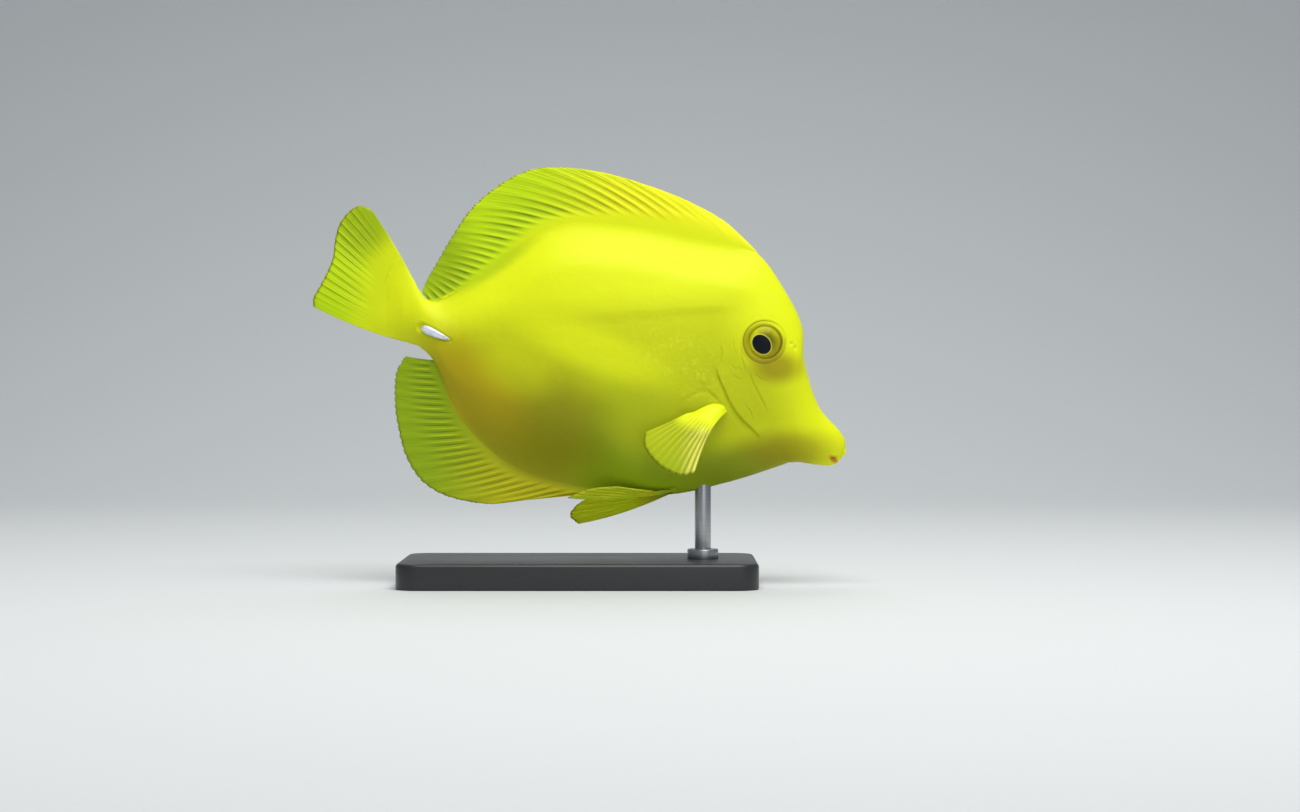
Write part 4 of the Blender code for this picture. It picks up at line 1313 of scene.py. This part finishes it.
class EyeSettings(bpy.types.PropertyGroup):
    """Sizes and colours of the eyes."""

    pupil_long: FloatProperty(
        name="Pupil length", description="Longest half width of the pupil, in millimetres",
        default=3.2, min=1.0, max=5.0,
    )
    pupil_short: FloatProperty(
        name="Pupil width", description="Shortest half width of the pupil, in millimetres",
        default=2.6, min=1.0, max=5.0,
    )
    iris: FloatVectorProperty(
        name="Iris", description="Olive yellow of the iris",
        subtype="COLOR", default=linear("CCCA12"), min=0.0, max=1.0,
    )
    ring: FloatVectorProperty(
        name="Pale ring", description="Thin pale ring round the pupil",
        subtype="COLOR", default=linear("DCDC58"), min=0.0, max=1.0,
    )
    pupil: FloatVectorProperty(
        name="Pupil", description="Blue black of the pupil",
        subtype="COLOR", default=linear("10141C"), min=0.0, max=1.0,
    )


# How far the pupil's long way is turned, and the size of the iris's mottle in millimetres
PUPIL_TURN = math.radians(38.0)
MOTTLE_SIZE = 1.11


def eye_material(settings):
    """Taxidermy eye: clear glass ground to a dome over a painted iris.

    Polished glass gives one small sharp light over the flat colours of the paint.
    """
    made, tree = new_material("painted_glass_eye")
    level = level_place(tree)
    far = side_distance(tree, level, EYE)
    pupil = (settings.pupil_long, settings.pupil_short)
    wide = side_distance(tree, level, PUPIL, pupil, PUPIL_TURN)
    sockets = {"Vector": level, "Scale": 1.0 / MOTTLE_SIZE, "Detail": 5.0}
    mottle = add_node(tree, "ShaderNodeTexNoise", sockets).outputs["Fac"]
    # Painted shade low on the front of the iris, and a painted shadow of the brow over the pupil
    shade = patch(tree, level, (-27.5, 25.0), (8.5, 8.0), 0.5)
    brow_shadow = patch(tree, level, (-31.3, 28.2), (4.4, 4.0), 0.6)
    colour = settings.iris
    for over, strength, step in (
        (linear("A89C10"), 0.45, (mottle, 0.35, 0.70)),
        (linear("94880E"), 0.70, shade),
        (linear("54560C"), 0.85, brow_shadow),
        (settings.ring, 0.70, (wide, 1.18, 1.05)),
        (linear("6A660C"), 0.75, (far, 4.5, 5.0)),
        (settings.pupil, 1.00, (wide, 1.03, 0.98)),
    ):
        colour = coat(tree, colour, over, strength, step)
    values = {
        "Roughness": 0.45,
        "IOR": 1.45,
        "Specular IOR Level": 0.12,
        "Coat Weight": 0.06,
        "Coat Roughness": 0.04,
        "Coat IOR": 1.50,
    }
    return dress(made, colour, values=values)


class TANG_OT_eyes(bpy.types.Operator):
    """Sets a glass eye in each socket"""

    bl_idname = "tang.eyes"
    bl_label = "Eyes"

    def execute(self, context):
        paint = eye_material(context.scene.tang_eyes)
        skin = float(side_at(np.array([EYE[0]]), np.array([EYE[1]]))[0])
        for side, name in ((-1, "right"), (1, "left")):
            bm = bmesh.new()
            bmesh.ops.create_uvsphere(bm, u_segments=72, v_segments=48, radius=1.0)
            ball = np.array([vert.co for vert in bm.verts])
            depth = ball[:, 2] * EYE_DEPTH
            depth += 0.25 * np.exp(-((np.hypot(ball[:, 0], ball[:, 1]) / 0.5) ** 2)) * ball[:, 2]
            spots = np.stack(
                [
                    EYE[0] + ball[:, 0] * EYE_RADIUS,
                    side * (skin - EYE_SUNK + depth),
                    EYE[1] + ball[:, 1] * EYE_RADIUS,
                ],
                axis=1,
            )
            for vert, spot in zip(bm.verts, place(spots)):
                vert.co = spot
            finish_piece("eyeball_" + name, bm, paint, ("eye_" + name,))
        return {"FINISHED"}


class SpineSettings(bpy.types.PropertyGroup):
    """Sizes and colour of the folding tail spines."""

    width: FloatProperty(
        name="Width", description="Height of a folded spine in side view, in millimetres",
        default=2.9, min=1.0, max=6.0,
    )
    thick: FloatProperty(
        name="Thickness", description="How far a spine stands out, in millimetres",
        default=1.4, min=0.5, max=4.0,
    )
    colour: FloatVectorProperty(
        name="Colour", description="Bluish white of the bone",
        subtype="COLOR", default=linear("E6EAF4"), min=0.0, max=1.0,
    )


# A spine's upward curl at its tip, its groove's depth, and its tip's share of its width
SPINE_CURL, SPINE_GROOVE, SPINE_POINT = 0.35, 0.16, 0.22
# Length, depth and height of one streak of the bone's grain, in millimetres
BONE_GRAIN = (4.0, 0.5, 0.385)


def spine_material(settings):
    """Bone: dense, cut and scraped smooth, so it shines softly along its fine grain."""
    made, tree = new_material("scraped_bone")
    sockets = {
        "Vector": level_place(tree),
        "Rotation": (0.0, 0.18, 0.0),
        "Scale": [1.0 / size for size in BONE_GRAIN],
    }
    stretch = add_node(tree, "ShaderNodeMapping", sockets).outputs[0]
    sockets = {"Vector": stretch, "Scale": 1.0, "Detail": 3.0}
    grain = add_node(tree, "ShaderNodeTexNoise", sockets).outputs["Fac"]
    colour = coat(tree, settings.colour, linear("B9C0D2"), 1.0, (grain, 0.4, 0.75))
    values = {
        "Roughness": 0.28,
        "IOR": 1.54,
        "Subsurface Weight": 0.2,
        "Subsurface Radius": (1.0, 0.9, 0.8),
        "Subsurface Scale": 0.0005,
    }
    return dress(made, colour, bumps=((grain, 0.2, 0.0001),), values=values)


class TANG_OT_spines(bpy.types.Operator):
    """Lays a folded spine in its pocket on each side of the tail stem"""

    bl_idname = "tang.spines"
    bl_label = "Tail spines"

    def execute(self, context):
        look = context.scene.tang_spines
        paint = spine_material(look)
        rear, tip = np.array(SPINE_REAR), np.array(SPINE_TIP)
        run = tip - rear
        across = np.array([-run[1], run[0]]) / np.linalg.norm(run)
        for side, name in ((-1, "right"), (1, "left")):
            bm = bmesh.new()
            bmesh.ops.create_uvsphere(bm, u_segments=40, v_segments=40, radius=1.0)
            ball = np.array([vert.co for vert in bm.verts])
            share = (ball[:, 2] + 1.0) / 2.0
            round_now = np.sqrt(np.maximum(1.0 - ball[:, 2] ** 2, 1e-6))
            full = np.sqrt(np.maximum(1.0 - ball[:, 2] ** 4, 0.0)) / round_now
            full = np.where(round_now > 2e-3, full, 1.0)
            taper = blend(1.0, SPINE_POINT, share**1.8)
            wide = ball[:, 0] * full * taper * look.width / 2
            wide += SPINE_CURL * share**3
            place_now = rear + run * share[:, None] + across * wide[:, None]
            out = (ball[:, 1] * full * taper * 0.75 + 0.25) * look.thick
            out -= SPINE_GROOVE * hump(wide, 0.35) * (ball[:, 1] > 0)
            skin = side_at(place_now[:, 0], place_now[:, 1])
            spots = np.stack([place_now[:, 0], side * (skin + out), place_now[:, 1]], axis=1)
            for vert, spot in zip(bm.verts, place(spots)):
                vert.co = spot
            finish_piece("spine_blade_" + name, bm, paint, ("tail_spine_" + name,))
        return {"FINISHED"}


class StandSettings(bpy.types.PropertyGroup):
    """Finish of the stand."""

    acrylic: FloatVectorProperty(
        name="Base", description="Black of the acrylic plate",
        subtype="COLOR", default=linear("232427"), min=0.0, max=1.0,
    )
    steel: FloatVectorProperty(
        name="Rod", description="Steel of the rod and its collar",
        subtype="COLOR", default=linear("B9BABC"), min=0.0, max=1.0,
    )
    collar: FloatProperty(
        name="Collar radius", description="Radius of the collar round the rod's foot",
        subtype="DISTANCE", unit="LENGTH", default=0.0048, min=0.003, max=0.02,
    )


# Roundings of the base plate and of the rod's ends, and how far the rod and its collar
# sink into the plate, the rod reaches into the belly and the collar stands up, in metres
PLATE_CORNER, PLATE_TOP_EDGE, PLATE_FOOT_EDGE = 0.007, 0.0012, 0.0005
ROD_EDGE, ROD_SUNK, ROD_IN_BELLY = 0.0004, 0.0005, 0.0015
COLLAR_SUNK, COLLAR_HEIGHT = 0.0002, 0.0030
# Sizes of the stand's patterns, in millimetres. Real grit and brush lines are about a
# tenth of this, and are drawn coarser so that they show
GRIT_SIZE, HAZE_SIZE = 0.385, 22.2
BRUSH_LENGTH, BRUSH_WIDTH = 16.7, 0.192


def acrylic_material(settings):
    """Cast acrylic, sanded satin: a soft even sheen with the finest speckle of the grit."""
    made, tree = new_material("satin_cast_acrylic")
    place_now = add_node(tree, "ShaderNodeTexCoord").outputs["Object"]
    grit, haze = (
        add_node(
            tree, "ShaderNodeTexNoise",
            {"Vector": place_now, "Scale": 1.0 / (size * MM), "Detail": detail},
        ).outputs["Fac"]
        for size, detail in ((GRIT_SIZE, 2.0), (HAZE_SIZE, 3.0))
    )
    colour = coat(tree, settings.acrylic, linear("2E2F33"), haze)
    bumps = ((grit, 0.12, 0.00005),)
    return dress(made, colour, (haze, 0.12, 0.30), bumps, {"IOR": 1.49})


def steel_material(settings):
    """Stainless steel, brushed round the rod: fine rings that draw each light out long."""
    made, tree = new_material("brushed_stainless_steel")
    place_now = add_node(tree, "ShaderNodeTexCoord").outputs["Object"]
    scale = [1.0 / (size * MM) for size in (BRUSH_LENGTH, BRUSH_LENGTH, BRUSH_WIDTH)]
    sockets = {"Vector": place_now, "Scale": scale}
    stretch = add_node(tree, "ShaderNodeMapping", sockets).outputs[0]
    sockets = {"Vector": stretch, "Scale": 1.0, "Detail": 2.0}
    brush = add_node(tree, "ShaderNodeTexNoise", sockets).outputs["Fac"]
    colour = coat(tree, settings.steel, linear("9C9EA2"), brush)
    bumps = ((brush, 0.15, 0.00004),)
    return dress(made, colour, (brush, 0.2, 0.22), bumps, {"Metallic": 1.0})


class TANG_OT_stand(bpy.types.Operator):
    """Makes the base plate, the rod up to the belly and the collar round its foot"""

    bl_idname = "tang.stand"
    bl_label = "Stand"

    def execute(self, context):
        look = context.scene.tang_stand
        low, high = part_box("stand_base")
        size = [b - a for a, b in zip(low, high)]
        bm = bmesh.new()
        bmesh.ops.create_cube(bm, size=1.0)
        for vert in bm.verts:
            vert.co = [low[i] + (vert.co[i] + 0.5) * size[i] for i in range(3)]
        upright = [e for e in bm.edges if abs(e.verts[0].co.z - e.verts[1].co.z) > 0.001]
        bmesh.ops.bevel(
            bm, geom=upright, offset=PLATE_CORNER, segments=14, profile=0.5, affect="EDGES",
            material=-1,
        )
        middle = (low[2] + high[2]) / 2
        for top, offset in ((True, PLATE_TOP_EDGE), (False, PLATE_FOOT_EDGE)):
            rim = [
                e for e in bm.edges
                if abs(e.verts[0].co.z - e.verts[1].co.z) < 1e-6
                and (e.verts[0].co.z > middle) == top
            ]
            bmesh.ops.bevel(
                bm, geom=rim, offset=offset, segments=4, profile=0.5, affect="EDGES",
                material=-1,
            )
        plate = finish_piece("base_plate", bm, acrylic_material(look), ("stand_base",))
        plate.data.set_sharp_from_angle(angle=math.radians(32.0))
        steel = steel_material(look)
        rod_low, rod_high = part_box("stand_rod")
        x = (rod_low[0] + rod_high[0]) / 2
        radius = (rod_high[0] - rod_low[0]) / 2
        for name, wide, bottom, top, replaced in (
            ("rod", radius, high[2] - ROD_SUNK, rod_high[2] + ROD_IN_BELLY, ("stand_rod",)),
            ("rod_collar", look.collar, high[2] - COLLAR_SUNK, high[2] + COLLAR_HEIGHT, ()),
        ):
            bm = bmesh.new()
            bmesh.ops.create_cone(
                bm, cap_ends=True, segments=64, radius1=wide, radius2=wide,
                depth=top - bottom,
            )
            rim = [e for e in bm.edges if abs(e.verts[0].co.z - e.verts[1].co.z) < 1e-6]
            bmesh.ops.bevel(
                bm, geom=rim, offset=ROD_EDGE, segments=3, profile=0.5, affect="EDGES",
                material=-1,
            )
            for vert in bm.verts:
                vert.co += Vector((x, 0.0, (top + bottom) / 2))
            finish_piece(name, bm, steel, replaced)
        return {"FINISHED"}


class StudioSettings(bpy.types.PropertyGroup):
    """Camera, floor and lights."""

    pixel: FloatProperty(
        name="Pixel size", description="Size of one pixel of the picture at the fish, in metres",
        default=0.00031, min=0.0001, max=0.001, precision=5,
    )
    distance: FloatProperty(
        name="Camera distance", description="From the camera to the fish's middle",
        subtype="DISTANCE", unit="LENGTH", default=0.9, min=0.3, max=5.0,
    )
    key: FloatProperty(
        name="Top light", description="Power of the light over the fish, in watts",
        subtype="POWER", unit="POWER", default=5.7, min=0.0, max=200.0,
    )
    fill: FloatProperty(
        name="Front light", description="Power of the wide front light, in watts",
        subtype="POWER", unit="POWER", default=2.4, min=0.0, max=200.0,
    )
    floor: FloatVectorProperty(
        name="Floor", description="Pale grey of the floor and backdrop",
        subtype="COLOR", default=linear("D8DBDD"), min=0.0, max=1.0,
    )


# The paper's pulp is finer than 1 mm, and is drawn coarser so that it just shows
PULP_SIZE = 1.111
# The photograph's size, and the pixel that shows the point FISH_AT_HEIGHT over the origin
PHOTO_SIZE = (1300, 812)
FISH_AT_PIXEL = (579.0, 523.0)
FISH_AT_HEIGHT = 0.019
# How far the camera stands above the place it is aimed at, in metres, and its sensor's
# width in millimetres
CAMERA_UP = 0.010
SENSOR = 36.0
# Floor: its length and width, where it starts in front, where it curves up behind and the
# radius of that curve, in metres
FLOOR_LENGTH, FLOOR_WIDTH = 9.0, 16.0
FLOOR_FRONT, FLOOR_BEND, FLOOR_RADIUS = -6.0, 0.55, 0.7


def add_light(name, spot, aim, size, power, colour):
    """A square light that hangs at a spot and is aimed at a point."""
    data = bpy.data.lights.new(name, "AREA")
    data.shape, data.size, data.energy, data.color = "SQUARE", size, power, colour
    lamp = bpy.data.objects.new(name, data)
    lamp.location = spot
    lamp.rotation_euler = (Vector(aim) - Vector(spot)).to_track_quat("-Z", "Y").to_euler()
    bpy.context.scene.collection.objects.link(lamp)


class TANG_OT_studio(bpy.types.Operator):
    """Sets the camera, a pale floor that curves up behind, and soft studio light"""

    bl_idname = "tang.studio"
    bl_label = "Studio"

    def execute(self, context):
        look = context.scene.tang_studio
        scene = context.scene
        centre_x = (PHOTO_SIZE[0] / 2 - FISH_AT_PIXEL[0]) * look.pixel
        centre_z = (FISH_AT_PIXEL[1] - PHOTO_SIZE[1] / 2) * look.pixel + FISH_AT_HEIGHT
        data = bpy.data.cameras.new("camera")
        data.sensor_width = SENSOR
        data.lens = SENSOR * look.distance / (PHOTO_SIZE[0] * look.pixel)
        data.clip_start = 0.01
        camera = bpy.data.objects.new("camera", data)
        camera.location = (centre_x, -look.distance, centre_z + CAMERA_UP)
        aim = Vector((centre_x, 0.0, centre_z)) - camera.location
        camera.rotation_euler = aim.to_track_quat("-Z", "Y").to_euler()
        scene.collection.objects.link(camera)
        scene.camera = camera

        bm = bmesh.new()
        bmesh.ops.create_grid(bm, x_segments=8, y_segments=160, size=0.5)
        for vert in bm.verts:
            run = (vert.co.y + 0.5) * FLOOR_LENGTH + FLOOR_FRONT
            turn = min(max((run - FLOOR_BEND) / FLOOR_RADIUS, 0.0), math.pi / 2)
            rest = max(run - FLOOR_BEND - FLOOR_RADIUS * math.pi / 2, 0.0)
            y = min(run, FLOOR_BEND) + FLOOR_RADIUS * math.sin(turn)
            z = FLOOR_RADIUS * (1.0 - math.cos(turn)) + rest
            vert.co = (vert.co.x * FLOOR_WIDTH, y, z)
        bm.normal_update()
        for face in bm.faces:
            face.smooth = True
        mesh = bpy.data.meshes.new("floor")
        bm.to_mesh(mesh)
        bm.free()
        made, tree = new_material("matt_backdrop_paper")
        place_now = add_node(tree, "ShaderNodeTexCoord").outputs["Object"]
        sockets = {"Vector": place_now, "Scale": 1.0 / (PULP_SIZE * MM), "Detail": 2.0}
        pulp = add_node(tree, "ShaderNodeTexNoise", sockets).outputs["Fac"]
        tint = [value * 0.97 for value in look.floor]
        colour = coat(tree, look.floor, tint, pulp)
        dress(made, colour, values={"Roughness": 0.85})
        mesh.materials.append(made)
        floor = bpy.data.objects.new("floor", mesh)
        scene.collection.objects.link(floor)

        # Each light's place, the height over the origin that it is aimed at, its size,
        # power and colour
        for name, spot, aim, size, power, colour in (
            ("top_light", (0.12, -0.28, 0.75), 0.06, 0.55, look.key, (1.0, 0.98, 0.94)),
            ("front_light", (0.35, -1.3, 0.45), 0.06, 1.0, look.fill, (0.94, 0.97, 1.0)),
            ("rear_light", (0.0, 0.55, 0.85), 0.08, 0.6, look.fill * 1.1, (1.0, 1.0, 0.96)),
        ):
            add_light(name, spot, (0.0, 0.0, aim), size, power, colour)
        world = bpy.data.worlds.new("studio")
        world.use_nodes = True
        sky = world.node_tree.nodes["Background"]
        sky.inputs["Color"].default_value = (0.86, 0.93, 1.0, 1.0)
        sky.inputs["Strength"].default_value = 0.30
        scene.world = world
        scene.view_settings.view_transform = "Standard"
        return {"FINISHED"}


GROUPS = {
    "tang_skin": SkinSettings,
    "tang_fins": FinSettings,
    "tang_eyes": EyeSettings,
    "tang_spines": SpineSettings,
    "tang_stand": StandSettings,
    "tang_studio": StudioSettings,
}
OPERATORS = (
    TANG_OT_skin, TANG_OT_median_fins, TANG_OT_paired_fins, TANG_OT_eyes, TANG_OT_spines,
    TANG_OT_stand, TANG_OT_studio,
)


class TANG_PT_model(bpy.types.Panel):
    """Lists what makes the model, and its settings"""

    bl_idname = "TANG_PT_model"
    bl_label = "Yellow tang model"
    bl_space_type = "VIEW_3D"
    bl_region_type = "UI"
    bl_category = "Yellow tang"

    def draw(self, context):
        for operator in OPERATORS:
            self.layout.operator(operator.bl_idname)
        for name, group in GROUPS.items():
            box = self.layout.box()
            for key in group.__annotations__:
                box.prop(getattr(context.scene, name), key)


def register():
    for made in (*GROUPS.values(), *OPERATORS, TANG_PT_model):
        bpy.utils.register_class(made)
    for name, group in GROUPS.items():
        setattr(bpy.types.Scene, name, PointerProperty(type=group))


def unregister():
    for name in GROUPS:
        delattr(bpy.types.Scene, name)
    for made in (TANG_PT_model, *OPERATORS[::-1], *list(GROUPS.values())[::-1]):
        bpy.utils.unregister_class(made)


def main():
    register()
    bpy.ops.tang.studio()
    bpy.ops.tang.skin()
    bpy.ops.tang.median_fins()
    bpy.ops.tang.paired_fins()
    bpy.ops.tang.eyes()
    bpy.ops.tang.spines()
    bpy.ops.tang.stand()


if __name__ == "__main__":
    main()
